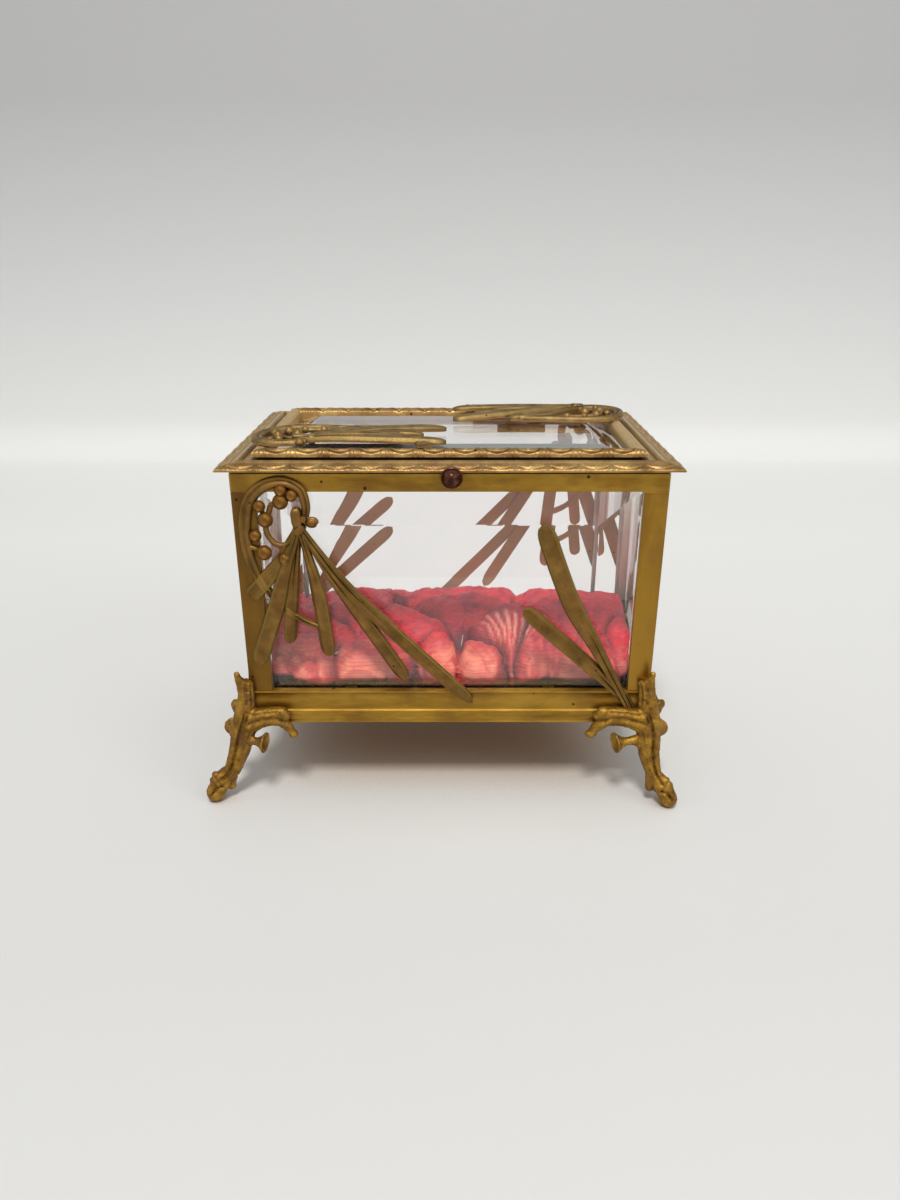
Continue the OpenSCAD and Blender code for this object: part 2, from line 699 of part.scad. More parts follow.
bottom_rail(0);  // bottom_rail_front
bottom_rail(1);  // bottom_rail_right
bottom_rail(2);  // bottom_rail_back
bottom_rail(3);  // bottom_rail_left
top_rail(0);  // top_rail_front
top_rail(1);  // top_rail_right
top_rail(2);  // top_rail_back
top_rail(3);  // top_rail_left
post(-1, -1);  // post_front_left
post(1, -1);  // post_front_right
post(1, 1);  // post_back_right
post(-1, 1);  // post_back_left
side_glass(0);  // glass_front
side_glass(1);  // glass_right
side_glass(2);  // glass_back
side_glass(3);  // glass_left
glass_tabs();
floor_plate();
cushion_card();
cushion();
tuft_threads();
foot(-1, -1, [splayed_toe_u, splayed_toe_w]);  // foot_front_left
foot(1, -1, [straight_toe_u, straight_toe_w]);  // foot_front_right
foot(1, 1, [splayed_toe_u, splayed_toe_w]);  // foot_back_right
foot(-1, 1, [straight_toe_u, straight_toe_w]);  // foot_back_left
berry_spray(0);  // berry_spray_front
berry_spray(2);  // berry_spray_back
leaf_pair(0);  // leaf_pair_front
leaf_pair(1);  // leaf_pair_right
leaf_pair(2);  // leaf_pair_back
leaf_pair(3);  // leaf_pair_left
hinge_case_leaves();
hinge_pins();
hinge_lid_leaves();
lid_frame();
lid_moulding(0);  // lid_moulding_front
lid_moulding(1);  // lid_moulding_right
lid_moulding(2);  // lid_moulding_back
lid_moulding(3);  // lid_moulding_left
lid_glass();
lid_glass_tabs();
lid_spray(0);  // lid_spray_front
lid_spray(180);  // lid_spray_back
lid_pull();
lid_pull_tab();
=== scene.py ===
import math

import bmesh
import bpy
import numpy as np
from mathutils import Matrix, Vector, noise


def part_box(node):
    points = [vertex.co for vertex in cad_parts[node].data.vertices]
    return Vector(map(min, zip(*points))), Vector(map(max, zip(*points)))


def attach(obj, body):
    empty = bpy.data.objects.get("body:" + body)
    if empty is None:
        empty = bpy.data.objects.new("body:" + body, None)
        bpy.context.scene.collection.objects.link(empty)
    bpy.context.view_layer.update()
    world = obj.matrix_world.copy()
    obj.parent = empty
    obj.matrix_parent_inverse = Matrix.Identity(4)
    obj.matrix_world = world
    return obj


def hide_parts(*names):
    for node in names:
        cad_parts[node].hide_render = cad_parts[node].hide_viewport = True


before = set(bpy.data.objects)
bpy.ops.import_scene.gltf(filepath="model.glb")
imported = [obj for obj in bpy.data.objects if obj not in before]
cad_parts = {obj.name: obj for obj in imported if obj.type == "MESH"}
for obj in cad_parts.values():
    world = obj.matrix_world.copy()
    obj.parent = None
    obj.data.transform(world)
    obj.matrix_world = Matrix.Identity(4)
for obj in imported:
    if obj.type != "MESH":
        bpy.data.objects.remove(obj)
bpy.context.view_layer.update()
mm = 0.001


def cadMm(node, corner):
    return np.array(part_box(node)[corner]) / mm


# Lines of the brass frame, in millimetres
caseHalf = cadMm("post_back_right", 1)[:2]
baseZ = cadMm("bottom_rail_front", 0)[2]
openingZ, openingTop = cadMm("post_front_left", 0)[2], cadMm("post_front_left", 1)[2]
lidHalf = cadMm("lid_frame", 1)[:2]
lidZ = cadMm("lid_frame", 0)[2]
mouldingHalf = np.array([cadMm("lid_moulding_right", 1)[0], cadMm("lid_moulding_back", 1)[1]])
mouldingTop = cadMm("lid_moulding_front", 1)[2]
sideNames = ("front", "right", "back", "left")
# a weld joins points closer than this, in metres
weldReach = 0.002 * mm


def newShape():
    return {"points": [], "faces": [], "marks": {}}


def addPoints(shape, points, **marks):
    # marks such as gilt, bare and brightened faces or painted shade are kept with the points, and the materials read
    # them
    start, count = len(shape["points"]), len(points)
    shape["points"].extend([tuple(p) for p in points])
    for name in set(shape["marks"]) | set(marks):
        column = shape["marks"].setdefault(name, [0.0] * start)
        column.extend(np.broadcast_to(marks.get(name, 0.0), count).tolist())


def addRings(shape, rings, **marks):
    # rings of equally many points, joined by faces and closed at both ends
    count, width, start = len(rings), len(rings[0]), len(shape["points"])
    marks = {name: np.tile(value, count) if np.size(value) == width else value for name, value in marks.items()}
    addPoints(shape, [p for ring in rings for p in ring], **marks)
    for i in range(count - 1):
        a, b = start + i * width, start + (i + 1) * width
        for j in range(width):
            k = (j + 1) % width
            shape["faces"].append((a + j, a + k, b + k, b + j))
    shape["faces"].append(tuple(start + j for j in reversed(range(width))))
    shape["faces"].append(tuple(start + (count - 1) * width + j for j in range(width)))


def setMark(mesh, name, values):
    mesh.attributes.new(name, "FLOAT", "POINT").data.foreach_set("value", np.array(values, np.float32))


def newObject(name, data):
    made = bpy.data.objects.new(name, data)
    bpy.context.scene.collection.objects.link(made)
    return made


def evaluated(holder):
    # the object's mesh with its modifiers applied; the object itself goes
    graph = bpy.context.evaluated_depsgraph_get()
    mesh = bpy.data.meshes.new_from_object(holder.evaluated_get(graph))
    bpy.data.objects.remove(holder)
    return mesh


def skinOf(mesh):
    return (np.array([getattr(v, kind) for v in mesh.vertices]) for kind in ("co", "normal"))


def toPiece(name, shape, material, body, replaced, sharp=42, move=None):
    points = np.array(shape["points"], float)
    if move is not None:
        points = move(points)
    mesh = bpy.data.meshes.new(name)
    mesh.from_pydata([tuple(p) for p in points * mm], [], shape["faces"])
    for mark, values in sorted(shape["marks"].items()):
        setMark(mesh, mark, values)
    tidy = bmesh.new()
    tidy.from_mesh(mesh)
    bmesh.ops.remove_doubles(tidy, verts=tidy.verts, dist=weldReach)
    bmesh.ops.recalc_face_normals(tidy, faces=tidy.faces)
    tidy.to_mesh(mesh)
    tidy.free()
    return finishPiece(name, mesh, material, body, replaced, sharp)


def finishPiece(name, mesh, material, body, replaced, sharp):
    mesh.polygons.foreach_set("use_smooth", [True] * len(mesh.polygons))
    mesh.set_sharp_from_angle(angle=math.radians(sharp))
    mesh.materials.clear()
    mesh.materials.append(material)
    piece = newObject(name, mesh)
    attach(piece, body)
    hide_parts(replaced)
    return piece


def turnsOf(count):
    # that many even turns round a circle
    return np.arange(count) * 2 * math.pi / count


def hill(away, width):
    return np.exp(-(away / width) ** 2)


def smoothLine(points, steps):
    # a smooth curve through the points
    p = np.array(points, float)
    last = len(p) - 1
    rows = []
    for i in range(last):
        a, b, c, d = (p[min(max(i + k, 0), last)] for k in (-1, 0, 1, 2))
        for t in np.arange(steps) / steps:
            rows.append(0.5 * (2 * b + (c - a) * t + (2 * a - 5 * b + 4 * c - d) * t ** 2
                               + (3 * b - a - 3 * c + d) * t ** 3))
    return np.array(rows + [p[last]])


def alongOf(line):
    # unit directions along a line
    run = np.gradient(line, axis=0)
    return run / np.linalg.norm(run, axis=1)[:, None]


def addStrip(shape, line, halves, profiles, thickness, levels):
    # a cast strip on a face: line is (across, up), each profile is (share of half width, share of thickness)
    way = alongOf(line)
    side = np.stack([-way[:, 1], way[:, 0]], axis=1)
    rows = []
    for p, n, half, level, profile in zip(line, side, halves, levels, profiles):
        rows.append([(p[0] + n[0] * half * a, p[1] + n[1] * half * a, level + thickness * h) for a, h in profile])
    # the back was never polished
    bare = [1.0 if h < 0.01 else 0.0 for _, h in profiles[0]]
    bevelled = [0.65 if 0.72 < abs(a) < 0.99 and h > 0.3 else 0.0 for a, h in profiles[0]]
    addRings(shape, rows, bare=bare, bevelled=bevelled)


def addTube(shape, line, radii, sides=12, squash=1.0):
    # a round bar along 3-D points
    way = alongOf(np.array(line, float))
    rows = []
    up = np.array([0.0, 0.0, 1.0])
    for p, w, r in zip(line, way, radii):
        u = np.cross(w, up)
        u = u / np.linalg.norm(u) if np.linalg.norm(u) > 0.05 else np.array([1.0, 0.0, 0.0])
        v = np.cross(u, w)
        rows.append([p + r * (u * math.cos(a) + squash * v * math.sin(a))
                     for a in turnsOf(sides)])
    addRings(shape, rows)


def addBall(shape, centre, radii, shaped, gilt):
    # a ball with its pole towards the viewer; shaped(polar, turn) scales its radius
    rows = []
    for polar in np.linspace(0.02, math.pi - 0.02, 14):
        row = []
        for turn in turnsOf(22):
            r = shaped(polar, turn)
            row.append((centre[0] + radii[0] * r * math.sin(polar) * math.cos(turn),
                        centre[1] + radii[1] * r * math.sin(polar) * math.sin(turn),
                        centre[2] + radii[2] * r * math.cos(polar)))
        rows.append(row)
    addRings(shape, rows, gilt=gilt)


def turned(side, x, y, z):
    # from a place on the front to the same place on that side; 0 is the front, 1 the right
    cos, sin = [(1, 0), (0, 1), (-1, 0), (0, -1)][side]
    return np.stack([cos * x - sin * y, sin * x + cos * y, z], axis=1)


def onFace(side):
    # from (across, up, out) on the face of a side to the part's own place
    out = caseHalf[1] if side % 2 == 0 else caseHalf[0]
    return lambda p: turned(side, p[:, 0], -out - p[:, 2], p[:, 1])


def hexColour(text):
    # sRGB hex to the linear colour that a shader takes
    parts = [int(text[i:i + 2], 16) / 255 for i in (1, 3, 5)]
    return tuple(c / 12.92 if c <= 0.04045 else ((c + 0.055) / 1.055) ** 2.4 for c in parts) + (1.0,)


def addNode(tree, kind, settings=(), links=()):
    # settings are the node's own, links are its inputs: a value, a hex colour or another node's output
    node = tree.nodes.new("ShaderNode" + kind)
    for key, value in dict(settings).items():
        setattr(node, key, value)
    for key, value in dict(links).items():
        if isinstance(value, bpy.types.NodeSocket):
            tree.links.new(value, node.inputs[key])
        else:
            node.inputs[key].default_value = hexColour(value) if isinstance(value, str) else value
    return node


def newMaterial(name):
    # with its tree and the place on the piece that its patterns follow
    material = bpy.data.materials.new(name)
    material.use_nodes = True
    tree = material.node_tree
    tree.nodes.clear()
    return material, tree, addNode(tree, "TexCoord").outputs["Object"]


def surfaced(material, tree, inputs):
    shader = addNode(tree, "BsdfPrincipled", links=inputs)
    addNode(tree, "OutputMaterial", links={"Surface": shader.outputs[0]})
    return material


def perMm(size):
    # texture scale for a feature of that size in millimetres
    return 1 / (size * mm)


def noiseOf(tree, place, size, detail, roughness=0.5, distortion=0.0):
    return addNode(tree, "TexNoise", links={
        "Vector": place, "Scale": perMm(size), "Detail": detail, "Roughness": roughness,
        "Distortion": distortion}).outputs["Fac"]


def markOf(tree, name):
    return addNode(tree, "Attribute", {"attribute_name": name}).outputs["Fac"]


def mathOf(tree, operation, *values, clamp=False):
    return addNode(tree, "Math", {"operation": operation, "use_clamp": clamp}, dict(enumerate(values))).outputs[0]


def rangeOf(tree, value, low, high, atLow, atHigh):
    return addNode(tree, "MapRange", links={0: value, 1: low, 2: high, 3: atLow, 4: atHigh}).outputs[0]


def bumpOf(tree, height, strength, reach):
    return addNode(tree, "Bump", links={"Height": height, "Strength": strength, "Distance": reach * mm}).outputs[0]


def addRamp(tree, factor, stops):
    ramp = addNode(tree, "ValToRGB", links={0: factor})
    band = ramp.color_ramp
    while len(band.elements) < len(stops):
        band.elements.new(0.5)
    for element, (place, colour) in zip(band.elements, stops):
        element.position = place
        element.color = hexColour(colour) if isinstance(colour, str) else (colour, colour, colour, 1)
    return ramp.outputs["Color"]


def mixColour(tree, factor, a, b, blend="MIX"):
    return addNode(tree, "Mix", {"data_type": "RGBA", "blend_type": blend}, {0: factor, 6: a, 7: b}).outputs[2]


def openTo(tree, reach, samples, stops, **settings):
    # how open a place is to the air within that reach, made a share by the stops
    node = addNode(tree, "AmbientOcclusion", dict(settings, samples=samples), {"Distance": reach * mm})
    return addRamp(tree, node.outputs["AO"], stops)


def makeBrass(name, look):
    # cast or rolled brass under worn gilding: metal all over, so its colour comes from what it mirrors,
    # browner and rougher in the hollows, partly old lacquer and dust and partly painted shade, brighter on rubbed edges
    material, tree, place = newMaterial(name)
    stretch = addNode(tree, "Mapping", links={"Vector": place, "Scale": look["stretch"]}).outputs[0]
    base = addRamp(tree, noiseOf(tree, stretch, look["cloud"], 5.0, 0.62), [
        (0.32, look["deep"]), (0.5, look["body"]), (0.68, look["bright"])])
    patina = addRamp(tree, noiseOf(tree, place, look["patinaSize"], 3.0), [(0.5, 0.0), (0.66, look["patinaShare"])])
    rubbed = openTo(tree, look["edgeReach"], 4, [(0.42, look["edgeShare"]), (0.62, 0.0)], only_local=True, inside=True)
    # the hollows are darkened: dirt, and painted shade
    dirtAndShade = openTo(tree, look["hollowReach"], 6, [(look["hollowLow"], 1.0), (look["hollowHigh"], 0.0)], only_local=True)
    # pits: small dark corrosion dots, millimetres apart
    spots = addNode(tree, "TexVoronoi", links={"Vector": place, "Scale": perMm(look["pitSpacing"])})
    dot = addRamp(tree, spots.outputs["Distance"], [(look["pitSize"], 1.0), (look["pitSize"] * 1.7, 0.0)])
    kept = addNode(tree, "SeparateColor", links={0: spots.outputs["Color"]}).outputs[0]
    chosen = addRamp(tree, kept, [(look["pitShare"], 1.0), (look["pitShare"] + 0.02, 0.0)])
    pit = mathOf(tree, "MULTIPLY", dot, chosen)
    # painted shadow under the mouldings and in the stamped pattern's hollows, near black
    soot = markOf(tree, "soot")
    # one over another: patina, rubbed edges where the gilding is thin and bright, berries and worn spots where more of
    # it shows, bevel tints and a painted highlight on the borders' short sides, cast backs left dull and inside faces
    # painted paler, dirt and painted shade in the hollows, pits, and painted shadow under the mouldings and in the
    # stamped hollows
    for share, colour in (
            (patina, look["patina"]), (rubbed, look["edge"]), (markOf(tree, "gilt"), look["gilt"]),
            (markOf(tree, "bevelled"), look["bevel"]), (markOf(tree, "bare"), look["bare"]), (dirtAndShade, look["dirtAndShade"]),
            (pit, "#2E200E"), (soot, "#0E0906")):
        base = mixColour(tree, share, base, colour)
    # duller in the dirt and painted shade of the hollows and under the mouldings, streaked along the rolling or the
    # casting's grain
    grain = noiseOf(tree, stretch, look["grain"], 3.0)
    rough = rangeOf(tree, grain, 0.3, 0.7, look["roughness"] - 0.09, look["roughness"] + 0.1)
    for duller in (dirtAndShade, soot):
        rough = mathOf(tree, "MULTIPLY_ADD", duller, 0.22, rough, clamp=True)
    return surfaced(material, tree, {
        "Base Color": base, "Metallic": look["metallic"], "Roughness": rough,
        "Normal": bumpOf(tree, mathOf(tree, "SUBTRACT", grain, pit), look["bump"], 0.12)})


# bevel is the tint of a casting's bevels, and the painted highlight on the borders' short sides
sheetBrassLook = {
    "stretch": (0.3, 0.3, 1.6), "cloud": 9.0, "deep": "#7E5C1E", "body": "#9A7427", "bright": "#AE8834",
    "patina": "#745022", "patinaSize": 14.0, "patinaShare": 0.5, "gilt": "#A87A2A", "dirtAndShade": "#3E2A0C",
    "edge": "#C7A24C", "edgeReach": 0.5, "edgeShare": 0.5, "bare": "#A2784C", "bevel": "#B8923E",
    "hollowReach": 2.2, "hollowLow": 0.2, "hollowHigh": 0.75, "pitSpacing": 7.0, "pitSize": 0.06, "pitShare": 0.4,
    "grain": 0.6, "roughness": 0.42, "bump": 0.35, "metallic": 0.85}
# the posts' inside faces are painted nearly white: painted light
postBrassLook = dict(sheetBrassLook, stretch=(1.0, 1.0, 0.22), deep="#6C4C16", body="#83601E", bright="#9A752A",
                     bare="#E2DACA", gilt="#AC8230")
# the left posts have kept more of their old brown lacquer
brownPostLook = dict(postBrassLook, deep="#573A14", body="#6C4C1C", bright="#826026", patina="#62401A",
                     patinaShare=0.6)
# the plate underneath, which is brown all over with lacquer
plateLook = dict(sheetBrassLook, deep="#5E380E", body="#784A14", bright="#8A5A1C", patina="#5A3410", metallic=0.3,
                 roughness=0.5)
footBrassLook = dict(
    sheetBrassLook, stretch=(1.0, 1.0, 1.0), cloud=3.6, deep="#644514", body="#8E6822", bright="#B08830",
    patina="#7A5430", patinaSize=8.0, patinaShare=0.55, edge="#C6A04A", edgeReach=0.7, edgeShare=0.45,
    dirtAndShade="#4A2E0C", hollowLow=0.3, hollowHigh=0.85, pitSpacing=4.5, grain=0.5, roughness=0.5,
    bump=0.7, metallic=0.75)
leafBrassLook = dict(
    sheetBrassLook, stretch=(1.0, 1.0, 1.0), cloud=8.0, deep="#5C4015", body="#775525", bright="#8E6931",
    patina="#5A4A20", patinaSize=7.0, patinaShare=0.35, gilt="#845618", edge="#A48640", bevel="#7C6A2A", edgeReach=0.45,
    edgeShare=0.45, dirtAndShade="#2C1E09", hollowReach=1.3, hollowLow=0.25, hollowHigh=0.8, pitSpacing=5.0, grain=0.45,
    roughness=0.45, bump=0.45, metallic=0.75)
lidBrassLook = dict(
    sheetBrassLook, stretch=(1.0, 1.0, 1.0), cloud=8.0, deep="#7E5F30", body="#A17E4C", bright="#B8985C",
    patina="#88643E", patinaSize=11.0, patinaShare=0.5, bevel="#CDB07C", edge="#CDAF70", edgeReach=0.4, edgeShare=0.4,
    dirtAndShade="#2E1D0E", hollowReach=1.2, hollowLow=0.35, hollowHigh=0.92, pitSpacing=8.0, grain=0.4, bump=0.5, metallic=0.8)
lidLeafLook = dict(
    lidBrassLook, cloud=5.0, deep="#5A4224", body="#84683E", bright="#A08354", patina="#626032", patinaSize=3.6,
    patinaShare=0.6, gilt="#8A6A34", bevel="#8C7440", hollowReach=1.8, hollowHigh=0.95, pitSpacing=4.0,
    pitShare=0.6, roughness=0.5, bump=0.9)

sheetBrass = makeBrass("rolledGiltBrassRails", sheetBrassLook)
postBrass = makeBrass("rolledGiltBrassPosts", postBrassLook)
brownPostBrass = makeBrass("lacqueredBrassPosts", brownPostLook)
plateBrass = makeBrass("lacqueredFloorPlate", plateLook)
footBrass = makeBrass("castGiltBrassFeet", footBrassLook)
leafBrass = makeBrass("castBrassGreenPatina", leafBrassLook)
lidBrass = makeBrass("stampedBrassLid", lidBrassLook)
lidLeafBrass = makeBrass("castBrassLidSprays", lidLeafLook)


scuff = {"fade": 0.4, "roughness": 0.32, "clearness": 0.45, "tint": "#A9ABA7"}


def makeGlass(name, scuffedTo=None):
    # bevelled plate glass, ground and polished: clear, with sharp mirror-like bevels;
    # it lets the lamps through, so what is inside stays lit. The lid's front bevel is scuffed grey by handling
    material, tree, place = newMaterial(name)
    roughness, clearness, tint = 0.0, 1.0, "#FFFFFF"
    if scuffedTo:
        depth = addNode(tree, "SeparateXYZ", links={0: place}).outputs[1]
        roughness = rangeOf(tree, depth, scuffedTo * mm, (scuffedTo + scuff["fade"]) * mm, scuff["roughness"], 0.0)
        clearness = rangeOf(tree, roughness, 0.0, scuff["roughness"], 1.0, scuff["clearness"])
        tint = addRamp(tree, roughness, [(0.0, "#FFFFFF"), (scuff["roughness"], scuff["tint"])])
    glass = addNode(tree, "BsdfPrincipled", links={
        "Base Color": tint, "Metallic": 0.0, "Roughness": roughness, "IOR": 1.5, "Transmission Weight": clearness})
    clear = addNode(tree, "BsdfTransparent", links={"Color": "#FAFAFA"})
    mix = addNode(tree, "MixShader", links={
        0: addNode(tree, "LightPath").outputs["Is Shadow Ray"], 1: glass.outputs[0], 2: clear.outputs[0]})
    addNode(tree, "OutputMaterial", links={"Surface": mix.outputs[0]})
    return material


def makeTurnedMetal(name, colour, dark, roughness):
    # turned copper alloy gone brown, or drawn steel gone grey: a soft highlight with tarnish in clouds
    material, tree, place = newMaterial(name)
    base = addRamp(tree, noiseOf(tree, place, 2.2, 4.0), [(0.35, dark), (0.65, colour)])
    # darker in the hollows: dirt, and painted shade
    dirtAndShade = openTo(tree, 1.5, 6, [(0.35, 1.0), (0.9, 0.0)], only_local=True)
    return surfaced(material, tree, {
        "Base Color": mixColour(tree, dirtAndShade, base, "#24140E"), "Metallic": 0.85, "Roughness": roughness})


# the front bevel's inner edge lies that far behind the moulding's face
scuffDepth = 14.0
plateGlass = makeGlass("bevelledPlateGlass")
lidPlateGlass = makeGlass("bevelledPlateGlassLid", scuffDepth - mouldingHalf[1])
pullCopper = makeTurnedMetal("turnedTarnishedCopper", "#6C3E28", "#341C14", 0.3)
pinSteel = makeTurnedMetal("drawnSteelPin", "#A09A90", "#6E6860", 0.35)

# the peach and pale tones are wear with a painted highlight, the deep one painted shade in the folds, the near black
# the frayed lining with painted shade
silkLook = {
    "rose": "#BE2E3C", "shaded": "#8E2434", "faded": "#C8505A", "vivid": "#D21228", "worn": "#D4745C",
    "threadbare": "#D8A28E", "deep": "#2C0A18", "lining": "#050307", "cord": 1.1, "cordBump": 0.5}


def makeSilk():
    # ribbed dress silk, over a hundred years old: a soft sheen off the ribs, rubbed to peach where the puffs touched
    # the glass and pale on the pleat ridges, with a painted highlight on their raised places, still red where it was
    # covered, painted shade in the folds, and dark at the frayed foot, partly painted shade; its ribs are 0.3 mm apart,
    # drawn 1.1 mm apart to show
    look = silkLook
    material, tree, place = newMaterial("wornRibbedSilk")

    def patchy(name, size, low, high, least):
        # a mark broken up by a noise of that size
        broken = addRamp(tree, noiseOf(tree, place, size, 4.0), [(low, least), (high, 1.0)])
        return mathOf(tree, "MULTIPLY", markOf(tree, name), broken, clamp=True)

    base = addRamp(tree, noiseOf(tree, place, 13.0, 4.0, 0.6, 0.5), [
        (0.34, look["shaded"]), (0.47, look["rose"]), (0.6, look["rose"]), (0.7, look["faded"])])
    base = mixColour(tree, patchy("vivid", 5.0, 0.3, 0.55, 0.5), base, look["vivid"])
    # peach and pale wear on the front puffs and pleat ridges, with a painted highlight
    base = mixColour(tree, patchy("worn", 4.0, 0.3, 0.6, 0.45), base, look["worn"])
    base = mixColour(tree, markOf(tree, "threadbare"), base, look["threadbare"])
    # painted shade in the folds
    base = mixColour(tree, markOf(tree, "fold"), base, look["deep"])
    # the ribs of the weave run level, so they read as contours on the puffs
    ribs = addNode(tree, "TexWave", {"bands_direction": "Z"}, {
        "Vector": place, "Scale": perMm(look["cord"]) * 0.314, "Distortion": 5.0, "Detail": 2.0,
        "Detail Scale": 0.12}).outputs["Fac"]
    base = mixColour(tree, 1.0, base, addRamp(tree, ribs, [(0.0, 0.82), (0.6, 1.0)]), "MULTIPLY")
    # near black at the foot: frayed lining, and painted shade where the silk turns under
    base = mixColour(tree, patchy("lining", 2.2, 0.3, 0.45, 0.75), base, look["lining"])
    return surfaced(material, tree, {
        "Base Color": base, "Roughness": 0.55, "IOR": 1.5, "Specular IOR Level": 0.3, "Sheen Weight": 0.04,
        "Sheen Roughness": 0.4, "Sheen Tint": "#E8A8A0", "Normal": bumpOf(tree, ribs, look["cordBump"], 0.15)})


def makeFibre(name, light, dark, size, roughness):
    # pressed or spun fibre: matt, mottled at the size of its strands
    material, tree, place = newMaterial(name)
    strands = noiseOf(tree, place, size, 4.0)
    return surfaced(material, tree, {
        "Base Color": addRamp(tree, strands, [(0.35, dark), (0.65, light)]), "Roughness": roughness, "IOR": 1.45,
        "Normal": bumpOf(tree, strands, 0.5, 0.1)})


silk = makeSilk()
cottonThread = makeFibre("spunCottonThread", "#F0E4DA", "#C9B4A8", 0.5, 0.8)
greyBoard = makeFibre("pressedGreyBoard", "#9A8A74", "#6A5A4A", 0.8, 0.9)
print("materials made")


# sheet edges: how flat faces merge, how sharp an edge gets eased (degrees), how deep the unlacquered inside begins (mm)
sheet = {"flat": 2, "corner": 32, "inside": 1.2, "giltFrom": 84, "giltOver": 40, "gilt": {"right": 0.85, "left": 0.25}}


def softened(node, material, width, body="casket"):
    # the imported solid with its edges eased, as filed and soldered sheet has them
    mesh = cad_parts[node].data.copy()
    tidy = bmesh.new()
    tidy.from_mesh(mesh)
    bmesh.ops.remove_doubles(tidy, verts=tidy.verts, dist=weldReach)
    bmesh.ops.dissolve_limit(tidy, angle_limit=math.radians(sheet["flat"]), verts=tidy.verts, edges=tidy.edges)
    edges = [e for e in tidy.edges if e.is_manifold and e.calc_face_angle() > math.radians(sheet["corner"])]
    bmesh.ops.bevel(tidy, geom=edges, offset=width * mm, segments=2, profile=0.6, affect="EDGES", clamp_overlap=True)
    bmesh.ops.triangulate(tidy, faces=[f for f in tidy.faces if len(f.verts) > 4])
    tidy.to_mesh(mesh)
    tidy.free()
    # faces turned to the inside were never lacquered, and they are painted paler still, as painted light where they lie
    # in shade
    x, y, z = np.abs([v.co for v in mesh.vertices]).T
    halfX, halfY = (caseHalf - sheet["inside"]) * mm
    setMark(mesh, "bare", ((x < halfX) & (y < halfY)).astype(float))
    if node.startswith("post"):
        # the gilding has lasted better low down
        share = sheet["gilt"]["right" if "right" in node else "left"]
        setMark(mesh, "gilt", np.clip((sheet["giltFrom"] * mm - z) / (sheet["giltOver"] * mm), 0, 1) * share)
    return finishPiece(node + "_eased", mesh, material, body, node, 50)


for corner in ("front_left", "front_right", "back_right", "back_left"):
    softened("post_" + corner, brownPostBrass if "left" in corner else postBrass, 0.22)
for sideName in sideNames:
    softened("top_rail_" + sideName, sheetBrass, 0.15)
softened("hinge_case_leaves", sheetBrass, 0.15)
softened("hinge_lid_leaves", lidBrass, 0.12, "lid")
softened("lid_pull_tab", lidBrass, 0.15, "lid")


# the panes: a flat field with a wide bevel ground down to a thin edge that sits in the frame
paneLook = {"lap": 1.6, "arris": 0.32, "edge": 0.7, "flat": 3.6, "end": 14.0, "top": 11.5, "bottom": 9.0,
            "back": -3.8, "lidInset": 3.7, "lidVisible": 5.0, "lidBevel": 9.0, "lidRim": 1.6, "lidEdge": 2.0,
            "lidFlat": 4.9}


def addPane(shape, rings):
    # rings: (low x, low y, high x, high y, level), from the back round to the field
    addRings(shape, [[(x0, y0, h), (x1, y0, h), (x1, y1, h), (x0, y1, h)] for x0, y0, x1, y1, h in rings])


for side, sideName in enumerate(sideNames):
    k = paneLook
    reach = cadMm("glass_" + sideName, 1)[0 if side % 2 == 0 else 1]
    inset, back = reach - k["lap"], k["back"]
    outer = (-reach, openingZ - k["lap"], reach, openingTop + k["lap"])
    visible = (-inset, openingZ, inset, openingTop)
    field = (k["end"] - inset, openingZ + k["bottom"], inset - k["end"], openingTop - k["top"])
    arris = tuple(edge + grow for edge, grow in zip(field, (-k["arris"], -k["arris"], k["arris"], k["arris"])))
    rings = [(outer, 0), (outer, k["edge"]), (visible, k["edge"]), (arris, k["flat"] - 0.05), (field, k["flat"])]
    pane = newShape()
    addPane(pane, [ring + (back + level,) for ring, level in rings])
    toPiece("bevelledPane" + sideName.title(), pane, plateGlass, "casket", "glass_" + sideName,
            sharp=1, move=onFace(side))

# swags of the stamped borders: hanging crescents between small upright shells, 10.3 mm apart
swagPitch = 10.3


def swagRelief(along, up):
    # along in millimetres, up from 0 to 1 across the border; gives -1 to 1
    cell = (along / swagPitch) % 1.0
    off = np.abs(cell - 0.5) * 2                       # 0 at a swag's middle, 1 at a shell
    hang = 0.26 + 0.56 * off ** 1.7
    ridge = hill(up - hang, 0.075)
    second = hill(up - hang - 0.2, 0.05) * np.clip(1.3 - 1.6 * off, 0, 1)
    under = hill(up - hang + 0.15, 0.06) + hill(up - hang - 0.11, 0.045)
    shellReach = np.clip(1 - up / 0.9, 0, 1) * 0.34 + 0.05
    inShell = np.clip((shellReach - (1 - off)) / 0.06 + 0.5, 0, 1) * np.clip((0.92 - up) / 0.1, 0, 1)
    fan = np.abs(np.cos(np.arctan2((cell - np.round(cell)) * swagPitch, 4.4 * (1.0 - up)) * 7.5))
    above = np.clip((up - hang - 0.3) / 0.08, 0, 1) * (1 - inShell)
    beads = np.clip(np.cos(along * 2 * math.pi / 1.1), 0, 1) * hill(up - 0.86, 0.1)
    return np.clip(0.95 * ridge + 0.5 * second - 0.8 * under + 0.6 * above * beads, -1, 1) * (1 - inShell) \
        + inShell * (-0.1 + 0.75 * fan ** 0.7)


def lensRelief(along, up):
    # the bottom band's low pattern: long lenses between two threads
    cell = (along / swagPitch) % 1.0 - 0.5
    lens = np.cos(math.pi * cell) ** 0.8 * 0.3
    rim = hill(np.abs(up - 0.5) - lens, 0.07)
    veins = 0.25 * np.cos(along * 2 * math.pi / 1.3 + 6 * (up - 0.5))
    veins = veins * np.clip(1 - np.abs(up - 0.5) / (lens + 0.01), 0, 1)
    return 0.7 * rim + veins


def ribRelief(along, up):
    # the ends' border, which reads as close curved ribs
    bow = (up - 0.5) ** 2 * 2.2
    return 0.3 * np.cos((along + bow * 2.4) * 2 * math.pi / 2.6) + 0.3 * swagRelief(along, up)


